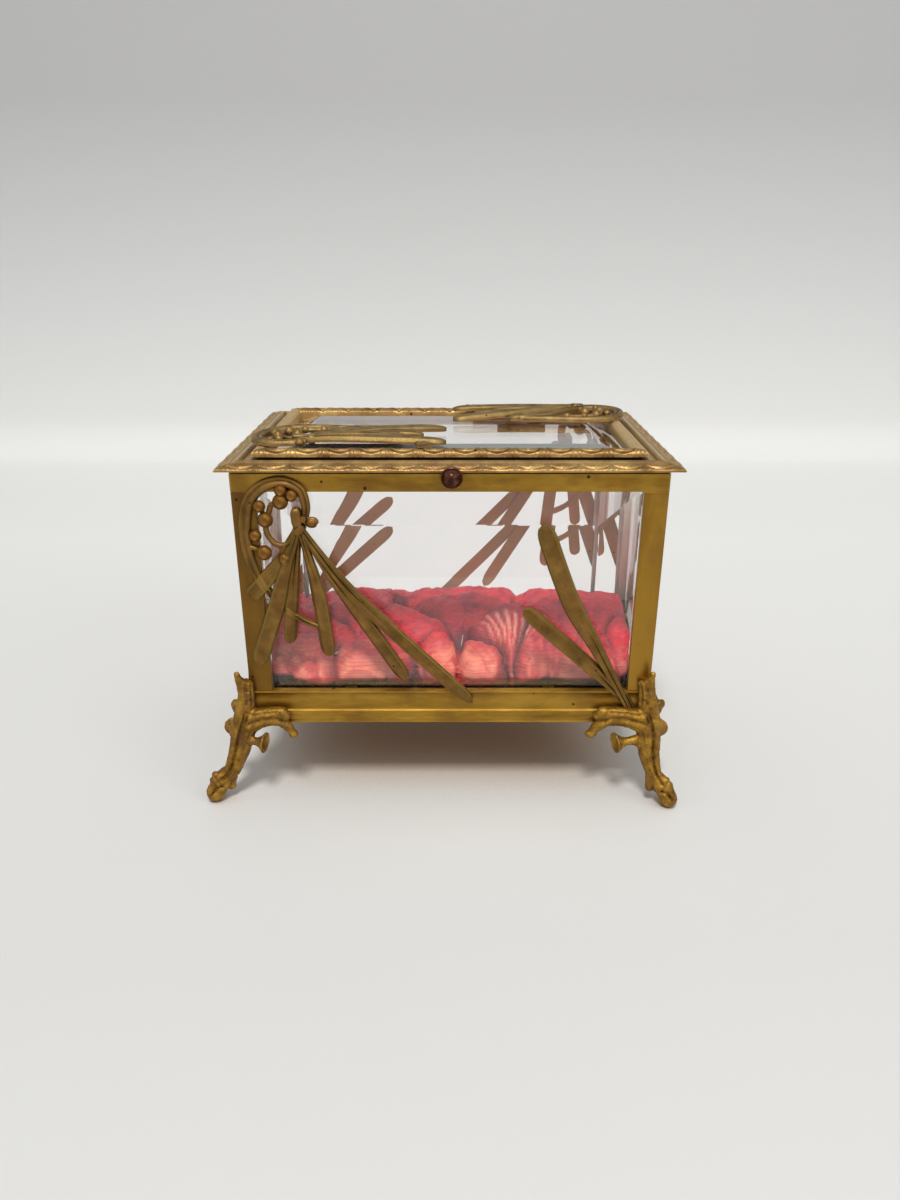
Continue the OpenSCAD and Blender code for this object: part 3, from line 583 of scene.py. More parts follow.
def addBorderRun(shape, side, halves, profile, relief, step, patternShade=(0.5, 0.15), sideHighlight=0.6):
    # one mitred length of border. profile: (outward from the face, height, relief share, up share, painted shadow)
    # points;
    # after the step come the painted shade in the pattern's hollows on long and short sides, then the painted highlight
    # that makes the short sides brighter
    along, out = halves if side % 2 == 0 else halves[::-1]
    profile = np.array([(row + (0, 0, 0))[:5] for row in profile], float)
    tangent = np.gradient(profile[:, :2], axis=0)
    normal = np.stack([tangent[:, 1], -tangent[:, 0]], axis=1)
    normal /= np.maximum(np.linalg.norm(normal, axis=1), 1e-6)[:, None]
    count = int(2 * along / step) + 1
    share = np.linspace(-1, 1, count)
    rows, soot = [], []
    for s in share:
        span = s * (along + profile[:, 0])
        stamped = relief(span, profile[:, 3])
        lift = stamped * profile[:, 2]
        # painted shade in the stamped pattern's hollows
        hollow = np.clip(-stamped - 0.05, 0, 1) * (profile[:, 2] > 0) * patternShade[side % 2]
        soot.extend(np.clip(profile[:, 4] + hollow, 0, 1))
        # the pattern dies away at the mitres
        lift = lift * np.clip((1 - abs(s)) * along / 1.2, 0, 1)
        o = profile[:, 0] + normal[:, 0] * lift
        z = profile[:, 1] + normal[:, 1] * lift
        rows.append(turned(side, span, -(out + o), z))
    # the short sides are brighter: painted highlight
    addRings(shape, rows, soot=np.array(soot), bevelled=sideHighlight if side % 2 else 0.0)


bottomRail = {
    "bandProud": 0.6, "bandHeight": 4.8, "relief": 0.16, "bandSteps": 17, "step": 0.4,
    "back": 3.8, "ledge": 6.3, "ledgeZ": 1.0, "skin": 2.2, "rebate": 1.7}


def bottomRailProfile():
    r = bottomRail
    top = openingZ
    proud = r["bandProud"]
    foot = [(-r["back"], r["ledgeZ"]), (-r["ledge"], r["ledgeZ"]), (-r["ledge"], 0), (proud - 0.25, 0),
            (proud - 0.05, 0.1), (proud, 0.35)]
    neck = [(proud, 4.5), (proud - 0.08, 4.8), (0.12, 5.1), (-0.05, 5.5), (0.0, 6.0), (0.02, 7.4), (-0.1, 8.4),
            (-0.28, 9.2), (-0.32, 9.8), (-0.2, 10.4)]
    head = [(-0.05, 1.3), (0.2, 1.0), (0.42, 0.6), (0.3, 0.15), (0.0, 0), (-r["skin"], 0), (-r["skin"], r["rebate"]),
            (-r["back"], r["rebate"])]
    band = [(proud - 0.12, baseZ + 0.55 + (r["bandHeight"] - 0.95) * up, r["relief"], up)
            for up in np.linspace(0.0, 1.0, r["bandSteps"])]
    return ([(x, baseZ + z) for x, z in foot] + band + [(x, baseZ + z) for x, z in neck]
            + [(x, top - down) for x, down in head])


for side, sideName in enumerate(sideNames):
    rail = newShape()
    addBorderRun(rail, side, caseHalf, bottomRailProfile(), lensRelief, bottomRail["step"])
    toPiece("bottomRail" + sideName.title(), rail, sheetBrass, "casket",
            "bottom_rail_" + sideName)
print("brass case made")


lidLook = {
    "slopeWidth": 4.3, "slopeRise": 1.2, "plainWidth": 2.1, "slopeRelief": 0.3, "slopeSteps": 18, "step": 0.36,
    "mouldingWidth": 5.0, "headHeight": 2.6, "headRelief": 0.36, "headSteps": 30, "mouldingStep": 0.34,
    "mouldingSeat": 3.5, "bodyGap": 0.4}
lipZ = lidZ + 1.0
lipTop = lipZ + 0.8
recessTop = lipTop + 0.5


def lidFrameProfile(pocket, stepIn, overhang):
    k = lidLook
    rows = [(-0.35, lipZ), (-0.08, lipZ + 0.1), (0.0, lipZ + 0.35), (-0.05, lipTop - 0.1)]
    for up in np.linspace(0, 1, k["slopeSteps"]):
        rows.append((-0.3 - (k["slopeWidth"] - 0.6) * up, lipTop + 0.02 + k["slopeRise"] * (0.1 + 0.9 * up),
                     k["slopeRelief"], up))
    inner = k["slopeWidth"] + k["plainWidth"]
    edge = lipTop + k["slopeRise"]
    # the last number on each point is painted shadow, on the groove and in the pocket under the moulding's overhang
    for x, z, soot in [
            (-k["slopeWidth"], edge, 0), (-k["slopeWidth"] - 0.15, edge - 0.16, 0.4),
            (-k["slopeWidth"] - 0.4, edge + 0.1, 0), (-inner + 0.5, edge + 0.42, 0), (-inner, edge + 0.5, 0),
            (-inner - 0.3, edge + 0.3, 0.2), (-inner - 0.8, recessTop, 0.25), (-overhang + 0.7, recessTop, 0.1),
            (-overhang + 0.1, recessTop, 0.7), (-pocket, recessTop, 0.9), (-pocket, lidZ, 0),
            (-stepIn, lidZ, 0), (-stepIn, lipZ, 0)]:
        rows.append((x, z, 0, 0, soot))
    return rows


lidFrame = newShape()
for side in range(4):
    across = 1 if side % 2 == 0 else 0
    overhang = lidHalf[across] - mouldingHalf[across]
    stepIn = lidHalf[across] - caseHalf[across] + lidLook["bodyGap"]
    addBorderRun(lidFrame, side, lidHalf, lidFrameProfile(overhang + lidLook["mouldingSeat"], stepIn, overhang),
                 swagRelief, lidLook["step"])
toPiece("lidFrameStamped", lidFrame, lidBrass, "lid", "lid_frame")


def mouldingProfile():
    k = lidLook
    width, low = k["mouldingWidth"], mouldingTop - k["headHeight"]
    # the neck under the moulding's head carries painted shadow
    rows = [(-1.8, recessTop, 0, 0, 0.9), (-1.8, low, 0, 0, 0.9), (-0.3, low, 0, 0, 0.7), (-0.05, low + 0.12)]
    for t in np.linspace(0, 1, k["headSteps"]):
        turn = math.pi * (0.04 + 0.9 * t)
        rows.append((-width / 2 + (width / 2 - 0.2) * math.cos(turn),
                     low + 0.35 + (k["headHeight"] - 0.6) * math.sin(turn) ** 0.7,
                     k["headRelief"], t))
    seat = k["mouldingSeat"]
    return rows + [(-width, low + 0.2), (-width, lidZ + 1.7), (-seat, lidZ + 1.7), (-seat, recessTop)]


for side, sideName in enumerate(sideNames):
    border = newShape()
    addBorderRun(border, side, mouldingHalf, mouldingProfile(), ribRelief if side % 2 else swagRelief,
                 lidLook["mouldingStep"], patternShade=(0.9, 0.1), sideHighlight=1.0)
    toPiece("lidMoulding" + sideName.title(), border, lidBrass, "lid",
            "lid_moulding_" + sideName)

lidPane = newShape()
lidRings = []
k = paneLook
for inset, h in [(k["lidInset"], 0.0), (k["lidInset"], k["lidRim"]), (k["lidVisible"], k["lidRim"]),
                 (k["lidVisible"], k["lidEdge"]), (k["lidVisible"] + k["lidBevel"], k["lidFlat"])]:
    halfX, halfY = mouldingHalf - inset
    lidRings.append((-halfX, -halfY, halfX, halfY, lidZ + h))
addPane(lidPane, lidRings)
toPiece("bevelledPaneLid", lidPane, lidPlateGlass, "lid", "lid_glass", sharp=1)

# the pull: a domed button on a thin collar, turned in one piece
pullProfile = [(3.3, 0.0), (3.52, 0.14), (3.55, 0.42), (3.4, 0.7), (3.16, 0.8), (3.02, 0.72), (2.94, 0.84), (2.9, 1.1),
               (2.82, 1.5), (2.64, 2.02), (2.34, 2.56), (1.92, 3.02), (1.36, 3.4), (0.7, 3.62), (0.02, 3.7)]
pullBox = cadMm("lid_pull", 0), cadMm("lid_pull", 1)
pullMiddle = (pullBox[0] + pullBox[1]) / 2
pull = newShape()
addRings(pull, [[(pullMiddle[0] + r * math.cos(a), pullBox[1][1] - h, pullMiddle[2] + r * math.sin(a))
                for a in turnsOf(48)] for r, h in pullProfile])
toPiece("lidPullButton", pull, pullCopper, "lid", "lid_pull", sharp=50)
print("lid made")


def leafHalf(t):
    # half widths along a leaf: a narrow stem, widest at two thirds, a rounded tip
    return ((0.36 + 0.64 * math.sin(math.pi / 2 * min(1, t / 0.7)) ** 1.4)
            * math.sqrt(max(0.003, 1 - (max(0, t - 0.9) / 0.1) ** 2)))


def leafProfile(groove, facet):
    # across a leaf: a thin rim, a slightly hollow face with a crease beside its middle, and a wide bevel
    return [(-1, 0), (-1, 0.5), (-0.95, 0.8), (-0.86, 0.97), (-0.76, 1.0), (-0.64, 0.9), (-0.4, 0.86), (-0.2, 0.88),
            (-0.09, 0.86 - groove), (0.02, 0.84 - groove * 0.5), (0.12, 0.92), (0.3, 0.96), (0.9 - facet, 1.0),
            (1 - facet, 1.02), (1.04 - facet, 0.94), (0.97, 0.45), (1, 0.34), (1, 0)]


def addLeaf(shape, thickness, points, width, level, endLevel, lift, groove, facet, flip):
    line = smoothLine(points, 14)
    share = np.linspace(0, 1, len(line))
    halves = [width / 2 * leafHalf(t) for t in share]
    levels = [level + (endLevel - level) * t + lift * math.sin(math.pi * t) for t in share]
    profiles = []
    for t in share:
        # the crease is deep by the stem and dies out before the tip, which is thinner
        deep = groove * (1.25 - 1.35 * min(1.0, max(0.0, (t - 0.25) / 0.5)))
        thin = 1 - 0.35 * max(0.0, (t - 0.85) / 0.15) ** 2
        profile = [(a, h * thin) for a, h in leafProfile(max(deep, -0.04), facet)]
        profiles.append([(-a, h) for a, h in reversed(profile)] if flip else profile)
    addStrip(shape, line, halves, profiles, thickness, levels)


bandProfile = [(-1, 0), (-1, 0.45), (-0.86, 0.84), (-0.66, 0.98), (-0.42, 0.96), (-0.3, 0.8), (-0.18, 0.74),
               (-0.04, 0.82), (0.12, 1.0), (0.36, 1.08), (0.62, 1.02), (0.84, 0.78), (1, 0.4), (1, 0)]


def addBand(shape, points, widths, thickness, levels=(0.0, 0.0)):
    line = smoothLine(points, 9)
    share = np.linspace(0, 1, len(line))
    halves = np.interp(share, np.linspace(0, 1, len(widths)), widths) / 2
    levels = np.interp(share, np.linspace(0, 1, len(levels)), levels)
    addStrip(shape, line, halves, [bandProfile] * len(line), thickness, levels)


def berryShape(polar, turn):
    # a mistletoe berry with its small star-shaped scar
    ring = math.exp(-((polar - 0.5) / 0.14) ** 2)
    pit = math.exp(-(polar / 0.26) ** 2)
    return 1 + 0.1 * ring * (1 + 0.5 * math.cos(4 * turn)) - 0.26 * pit


def addBerries(shape, places, radius, level):
    for x, y in places:
        addBall(shape, (x, y, level), (radius, radius, radius * 0.86), berryShape, 0.55)


def addTwig(shape, points, radius, level, steps, squash):
    line = smoothLine(points, steps)
    addTube(shape, np.column_stack([line, np.full(len(line), level)]), np.full(len(line), radius), squash=squash)


def addCollar(shape, place, turn, half, height, gilt=0.0):
    # a knot where stems meet: a rounded block with a waist, long way along turn
    cos, sin = math.cos(math.radians(turn)), math.sin(math.radians(turn))
    rows = []
    for h, grow in [(0.0, 1.0), (0.5, 1.0), (0.72, 0.82), (0.84, 0.96), (0.97, 0.84), (1.0, 0.6)]:
        row = []
        for a in turnsOf(28):
            u = half[0] * grow * math.copysign(abs(math.cos(a)) ** 0.6, math.cos(a))
            v = half[1] * grow * math.copysign(abs(math.sin(a)) ** 0.6, math.sin(a))
            row.append((place[0] + cos * u - sin * v, place[1] + sin * u + cos * v, h * height))
        rows.append(row)
    addRings(shape, rows, gilt=gilt)


spray = {
    "thickness": 1.6,
    "hoop": [(-47.2, 107.5), (-46.9, 111.5), (-48.6, 116.6), (-54.1, 119.1), (-60.5, 117.4), (-65.2, 112.4),
             (-67.2, 104), (-66.6, 93.5), (-63.4, 84.6), (-57.4, 76.6), (-50.6, 70.9), (-45.2, 68.2)],
    "hoopWidths": [2.6, 3.0, 3.4, 3.8, 4.1, 4.2, 4.0, 3.6, 3.0, 2.4, 2.2, 2.4],
    "loop": [(-58.2, 111), (-60.2, 103.4), (-58.6, 99.2), (-55.7, 97.6), (-52.6, 99), (-50.3, 104.0)],
    "leaves": [
        # points, width, start level, end level, lift, crease, bevel, flipped
        ([(-50.5, 103), (-57, 91.5), (-62, 85), (-67.2, 79.4)], 5.6, 0.0, 0.1, 0.0, 0.05, 0.12, False),
        ([(-49.6, 102), (-51.6, 90), (-53.6, 76), (-55.3, 61.8)], 4.6, 0.2, 0.0, 0.2, 0.14, 0.34, False),
        ([(-50, 102), (-55.2, 87.3), (-58.8, 75.5), (-66.7, 53.8)], 5.8, 0.9, 0.35, 0.6, 0.06, 0.24, False),
        ([(-49, 102), (-45.7, 88), (-43.8, 76), (-42, 56.8)], 5.1, 0.5, 0.1, 0.5, 0.1, 0.46, True),
        ([(-48.6, 102.5), (-40, 87.6), (-30.6, 72.6), (-15.2, 47.4)], 5.0, 0.3, 0.0, 0.5, 0.2, 0.4, True),
        ([(-48.2, 103), (-35.6, 84.4), (-19.5, 66.4), (8.1, 38.4)], 4.9, 1.0, 0.25, 0.7, 0.3, 0.22, True)],
    "large": [(-54.8, 112.6), (-60.1, 106.5), (-61.3, 95.2)],
    "small": [(-54.5, 116.2), (-51.1, 114.6), (-61.8, 111), (-63.8, 101), (-54.9, 93)],
    "twigs": [[(-61.8, 111), (-60.1, 106.5)], [(-61.3, 95.2), (-66, 97)],
              [(-54.8, 112.6), (-57.2, 111.7), (-58.2, 111)], [(-54.9, 93), (-53.4, 95.5), (-51.6, 98.5)],
              [(-54.5, 116.2), (-52, 113.5), (-51.1, 114.6)]],
    # radius, level, steps and squash of a bar, and radius and level of a berry
    "barSize": (0.95, 0.9, 8, 1.0), "twigSize": (0.85, 0.85, 6, 0.8), "largeSize": (2.6, 1.5),
    "smallSize": (2.05, 1.3)}


def makeSpray(name, side):
    s, shape = spray, newShape()
    thick = s["thickness"]
    addBand(shape, s["hoop"], s["hoopWidths"], thick * 0.95, levels=(0.0, 0.1, 0.1, 0.0, 0.0))
    addTwig(shape, s["loop"], *s["barSize"])
    for leaf in s["leaves"]:
        addLeaf(shape, thick, *leaf)
    for points in s["twigs"]:
        addTwig(shape, points, *s["twigSize"])
    addBerries(shape, s["large"], *s["largeSize"])
    addBerries(shape, s["small"], *s["smallSize"])
    # the knot, its two collars and the bud beside it
    addCollar(shape, (-49.9, 107.2), 4, (1.75, 3.3), 3.1)
    addCollar(shape, (-49.1, 103.2), 38, (2.1, 1.35), 3.2)
    addCollar(shape, (-47.6, 106.9), 80, (1.15, 1.0), 2.9, gilt=0.2)
    addBall(shape, (-45.0, 105.7, 1.5), (2.3, 1.9, 1.7),
            lambda polar, turn: 1 - 0.16 * math.exp(-((polar - 0.9) / 0.12) ** 2)
            - 0.2 * math.exp(-(math.sin((turn + 0.5) / 2) / 0.12) ** 2) * math.sin(polar), gilt=0.35)
    toPiece("mistletoeSpray" + name, shape, leafBrass, "casket", "berry_spray_" + name.lower(),
            move=onFace(side), sharp=40)


leafPair = {
    "leaves": [
        ([(63.6, 36.6), (50.6, 60.6), (40.8, 78), (30.6, 104.6)], 6.5, 0.9, 0.0, 0.8, 0.16, 0.2, False),
        ([(64.2, 36.4), (54.4, 47.8), (45.0, 56.6), (25.2, 74.6)], 5.4, 0.1, 0.0, 0.5, 0.14, 0.42, True)],
    "stem": [(65.8, 33.6), (64.8, 36.4), (62.0, 42.0)], "stemWidths": [2.2, 2.6, 2.2], "stemThickness": 1.9,
    "thickness": 1.6, "drawnAt": 71}


def makeLeafPair(side, sideName):
    shape = newShape()
    # the points are drawn for a face of that half width
    shift = (caseHalf[0] if side % 2 == 0 else caseHalf[1]) - leafPair["drawnAt"]
    for leaf in leafPair["leaves"]:
        addLeaf(shape, leafPair["thickness"], *leaf)
    addBand(shape, leafPair["stem"], leafPair["stemWidths"], leafPair["stemThickness"])
    place = onFace(side)
    toPiece("leafPair" + sideName.title(), shape, leafBrass, "casket", "leaf_pair_" + sideName,
            move=lambda p: place(p + np.array([shift, 0, 0])), sharp=40)


makeSpray("Front", 0)
makeSpray("Back", 2)
for side, sideName in enumerate(sideNames):
    makeLeafPair(side, sideName)


lidSpray = {
    "thickness": 1.8,
    "hoop": [(-48, -31.6), (-58, -32.6), (-64.4, -28.4), (-65.6, -20.5), (-61.4, -11.6), (-53, -7.6), (-40, -8.4),
             (-26.6, -9.8)],
    "leaves": [
        ([(-52, -30), (-40, -29.2), (-24, -29.6), (-1.2, -30.6)], 5.6, 0.2, 0.0, 0.7, 0.2, 0.3, True),
        ([(-50, -28), (-38, -23), (-22, -15), (-1.2, -8.6)], 5.6, 0.5, 0.0, 0.9, 0.16, 0.24, False),
        ([(-51, -30), (-40, -26.8), (-28, -24.6), (-16, -24.4)], 4.6, 0.9, 0.2, 0.6, 0.14, 0.26, False),
        ([(-50, -27), (-42, -19), (-33, -12.5), (-22, -10.4)], 4.4, 0.1, 0.0, 0.5, 0.1, 0.26, True),
        ([(-50, -29), (-38, -25), (-24, -20.6), (-9, -19)], 4.8, 0.2, 0.0, 0.6, 0.12, 0.26, False)],
    "large": [(-58.6, -23.4), (-56, -16), (-52.4, -20.6)],
    "small": [(-60.6, -18.6), (-51, -12.8), (-44.4, -12.4), (-49.6, -33.6), (-57.6, -27.8)],
    "twig": [(-50.6, -28.6), (-58.2, -23.4), (-57.4, -16.4), (-51, -12.8), (-44.4, -12.4), (-40, -9.4)],
    "hoopWidths": [3.2, 3.8, 4.0, 3.8, 3.4, 3.0, 2.8, 2.4], "barSize": (0.9, 0.95, 8, 1.0), "largeSize": (1.85, 1.15),
    "smallSize": (1.5, 1.1)}


def makeLidSpray(name, sign):
    s, shape = lidSpray, newShape()
    addBand(shape, s["hoop"], s["hoopWidths"], s["thickness"])
    for leaf in s["leaves"]:
        addLeaf(shape, s["thickness"], *leaf)
    addTwig(shape, s["twig"], *s["barSize"])
    addBerries(shape, s["large"], *s["largeSize"])
    addBerries(shape, s["small"], *s["smallSize"])
    addCollar(shape, (-50.6, -28.8), 12, (2.5, 1.9), 3.0)
    addCollar(shape, (-46.6, -28.2), 16, (1.2, 2.2), 2.7)
    # the tab at the leaf's end that lies over the moulding
    addBand(shape, [(-11.2, -29.4), (-9.4, -33.0), (-8.2, -36.6)], [3.4, 4.2, 5.2], 1.3, levels=(0.3, 0.2, 0.15))
    toPiece("lidMistletoe" + name, shape, lidLeafBrass, "lid", "lid_spray_" + name.lower(),
            move=lambda p: p * (sign, sign, 1) + (0, 0, mouldingTop), sharp=40)


makeLidSpray("Front", 1)
makeLidSpray("Back", -1)
print("castings made")


foot = {"voxel": 0.32, "smoothing": 2, "bark": 0.2, "sides": 28}
# the strands of a casting in its corner's own frame, x and y outward, z from the case's underside:
# each a run of (x, y, z, radius). These are on the corner's diagonal
footSpur = [
    [(2.3, 2.3, 9, 2.3), (2.0, 2.0, 13.5, 1.8)], [(2.0, 2.0, 13.0, 2.0), (3.3, 3.3, 20.9, 1.0)],
    [(2.3, 2.3, 9, 2.4), (3.8, 3.8, 2, 2.6)]]
# and these each face of the corner has: the sheath, the arm's two strands and its hanging nub
footArm = [
    [(1.0, 1.8, 7, 2.9), (0.5, 1.5, 13, 2.3)], [(0.5, 1.5, 12.4, 2.3), (0.0, 1.2, 15.8, 1.7)],
    [(1.3, 1.7, 12, 2.0), (1.7, 1.9, 16.2, 1.3)], [(0.8, 1.9, 15.8, 1.6), (3.0, 3.0, 18.8, 1.3)],
    [(0.5, 2.6, 3.0, 3.2), (-3, 3, 4.5, 2.5), (-7, 3, 5.2, 2.4), (-11.2, 2.8, 5.2, 2.4), (-12.3, 2.9, 4.2, 2.1)],
    [(-12.2, 3.2, 6.3, 1.1), (-13.0, 3.0, 4.4, 1.2)],
    [(1.4, 2.4, -0.8, 3.4), (-3, 2.9, 1.5, 2.4), (-6.8, 2.8, 2.3, 2.1), (-10.6, 2.7, 2.1, 2.1),
     (-13.1, 2.6, -0.6, 1.8), (-14.3, 2.4, -2.9, 1.35), (-14.6, 2.4, -3.4, 1.75)]]
# a short horn whose mouth flares: radius and distance along it from its root
hornProfile = [(1.9, 0), (1.5, 2.2), (1.55, 3.2), (1.95, 4.2), (2.8, 5.2), (3.6, 5.9), (3.9, 6.3), (3.65, 6.6),
               (2.8, 6.2), (1.7, 5.6), (0.7, 5.3)]
hornRoot, hornWay = (1.2, 4.3, -5.1), (-0.95, 0.2, -0.05)
# creases cut along the casting: points, half width, depth; a negative depth raises a ridge
armCreases = [
    ([(-0.5, 5.6, 5.8), (-5, 5.6, 6.6), (-10, 5.3, 6.8)], 0.4, 0.5),
    ([(0.5, 5.9, 1.6), (-4, 5.6, 3.2), (-9, 5.3, 3.8), (-12.4, 5.0, 2.2)], 0.5, 0.8),
    ([(-1, 5.2, -0.8), (-5, 4.8, 0.8), (-9.6, 4.6, 1.0)], 0.35, 0.35),
    ([(-10.8, 5.2, 7.4), (-11.0, 5.4, 4.4)], 0.35, 0.4), ([(-9.2, 5.2, 7.4), (-9.4, 5.4, 5.2)], 0.3, 0.3),
    ([(-1.6, 3.4, 8.5), (-1.5, 3.2, 13), (-1.8, 2.8, 17)], 0.4, 0.6),
    ([(0.9, 3.9, 8.5), (0.7, 3.6, 13), (0.5, 3.2, 17)], 0.35, 0.45),
    ([(1.2, 3.9, 10.2), (-2.2, 3.4, 10.8)], 0.28, 0.3), ([(1.0, 3.8, 14.2), (-2.2, 3.0, 13.6)], 0.28, 0.3)]
# the same place on a corner's two faces
cornerFaces = ([0, 1, 2], [1, 0, 2])


def strung(*stations):
    # tapered bars through the stations, each a place and a radius
    return [(a, ra, b, rb) for (a, ra), (b, rb) in zip(stations, stations[1:])]


def footLimbs(toe):
    reach = np.array([toe[0], toe[1], 0.0])
    out = reach / np.linalg.norm(reach)
    under = np.array([0, 0, baseZ])
    at = {
        "knee": reach * (0.34, 0.44, 0) + (0, 0, baseZ * 0.63), "ankle": reach * (0.56, 0.64, 0) + (0, 0, baseZ * 0.4),
        "heel": reach * (0.9, 0.84, 0) + (0, 0, 7.1), "tip": reach * (1.03, 0.97, 0) + (0, 0, 3.5)}
    knee, ankle, heel, tip = at.values()

    def placed(runs, order):
        return [limb for run in runs for limb in strung(*[(under + np.array(s[:3])[order], s[3]) for s in run])]

    limbs = strung((under + (2.0, 2.0, 1.0), 3.4), (knee, 2.8), (ankle, 2.4))
    limbs += strung((ankle, 2.5), (heel, 3.7), (tip, 3.4))
    limbs += strung((under + (3.8, 3.8, 2), 2.6), (knee + (1.3, 1.3, 1.5), 2.3), (ankle + (0.7, 0.7, 0.7), 2.0),
                    (heel + (0.5, 0.5, 1.2), 2.6))
    limbs += strung((ankle, 2.2), (reach * 0.62 + (0, 0, 6.4), 1.5), (reach * 0.63 + (0, 0, 5.2), 1.6))
    limbs += strung((ankle + out * 1.2, 2.3), (heel + out * 0.5 + (0, 0, 1.4), 3.2))
    limbs += strung((heel + out * 0.8 + (0, 0, 2.0), 2.4), (heel + out * 0.9 + (0, 0, 3.0), 2.1))
    limbs += strung((under + (3.2, 0.8, 3.0), 3.0), (under + (5.6, -0.8, 6.6), 2.0))
    limbs += placed(footSpur, cornerFaces[0])
    for order in cornerFaces:
        limbs += placed(footArm, order)
        shoulder, bend, low = (np.array(k)[order] for k in ((1.0, 3.0, -0.5), (-1.4, 1.2, 1.0), (-1.0, 0.5, 0)))
        limbs += strung((under + shoulder, 3.0), (knee + bend, 2.3), (ankle + low, 2.0))
    return at, limbs


def addLimb(tidy, a, ra, b, rb):
    # a tapered bar with round ends
    a, b = Vector(a), Vector(b)
    turn = (b - a).to_track_quat("Z", "Y").to_matrix()
    length = (b - a).length
    made = bmesh.ops.create_uvsphere(tidy, u_segments=20, v_segments=16, radius=1.0)["verts"]
    for v in made:
        low = v.co.z < 0
        v.co = a + turn @ (v.co * (ra if low else rb) + Vector((0, 0, 0 if low else length)))


def addHorn(tidy, order, shift):
    turn = Vector(np.array(hornWay)[order]).to_track_quat("Z", "Y").to_matrix()
    root = Vector(np.array(hornRoot)[order]) + Vector((0, 0, baseZ)) + Vector(shift)
    rings = [[tidy.verts.new(root + turn @ Vector((r * math.cos(a), r * math.sin(a), h)))
              for a in turnsOf(foot["sides"])] for r, h in hornProfile]
    for low, high in zip(rings, rings[1:]):
        for i in range(foot["sides"]):
            k = (i + 1) % foot["sides"]
            tidy.faces.new((low[i], low[k], high[k], high[i]))
    tidy.faces.new(rings[0])
    tidy.faces.new(rings[-1])


def nearestOnLine(points, line):
    # each point's distance to a line of points, with how far along it lies
    best = np.full(len(points), 1e9)
    place = np.zeros(len(points))
    for i in range(len(line) - 1):
        a, b = line[i], line[i + 1]
        run = b - a
        t = np.clip(((points - a) @ run) / max(run @ run, 1e-9), 0, 1)
        away = np.linalg.norm(points - (a + t[:, None] * run), axis=1)
        closer = away < best
        best[closer] = away[closer]
        place[closer] = ((i + t) / (len(line) - 1))[closer]
    return best, place


def noiseAt(places):
    return np.array([noise.noise(Vector(p)) for p in places])


def barkNoise(points, limbs):
    # ridges that follow each limb: noise drawn out along the nearest limb's direction
    way = np.zeros_like(points)
    for a, ra, b, rb in limbs:
        run = b - a
        t = np.clip(((points - a) @ run) / max(run @ run, 1e-9), 0, 1)
        gap = np.linalg.norm(points - (a + t[:, None] * run), axis=1) - (ra + (rb - ra) * t)
        weight = np.exp(-np.clip(gap - gap.min(), 0, 4) * 2.0)
        way += (run / np.linalg.norm(run) * np.sign(run[2] if abs(run[2]) > 0.1 else 1))[None, :] * weight[:, None]
    way /= np.maximum(np.linalg.norm(way, axis=1), 1e-6)[:, None]
    lengthwise = (points * way).sum(axis=1)[:, None] * way
    drawn = lengthwise / 9.0 + (points - lengthwise) / 1.7
    return noiseAt(drawn), noiseAt(points / 0.9)


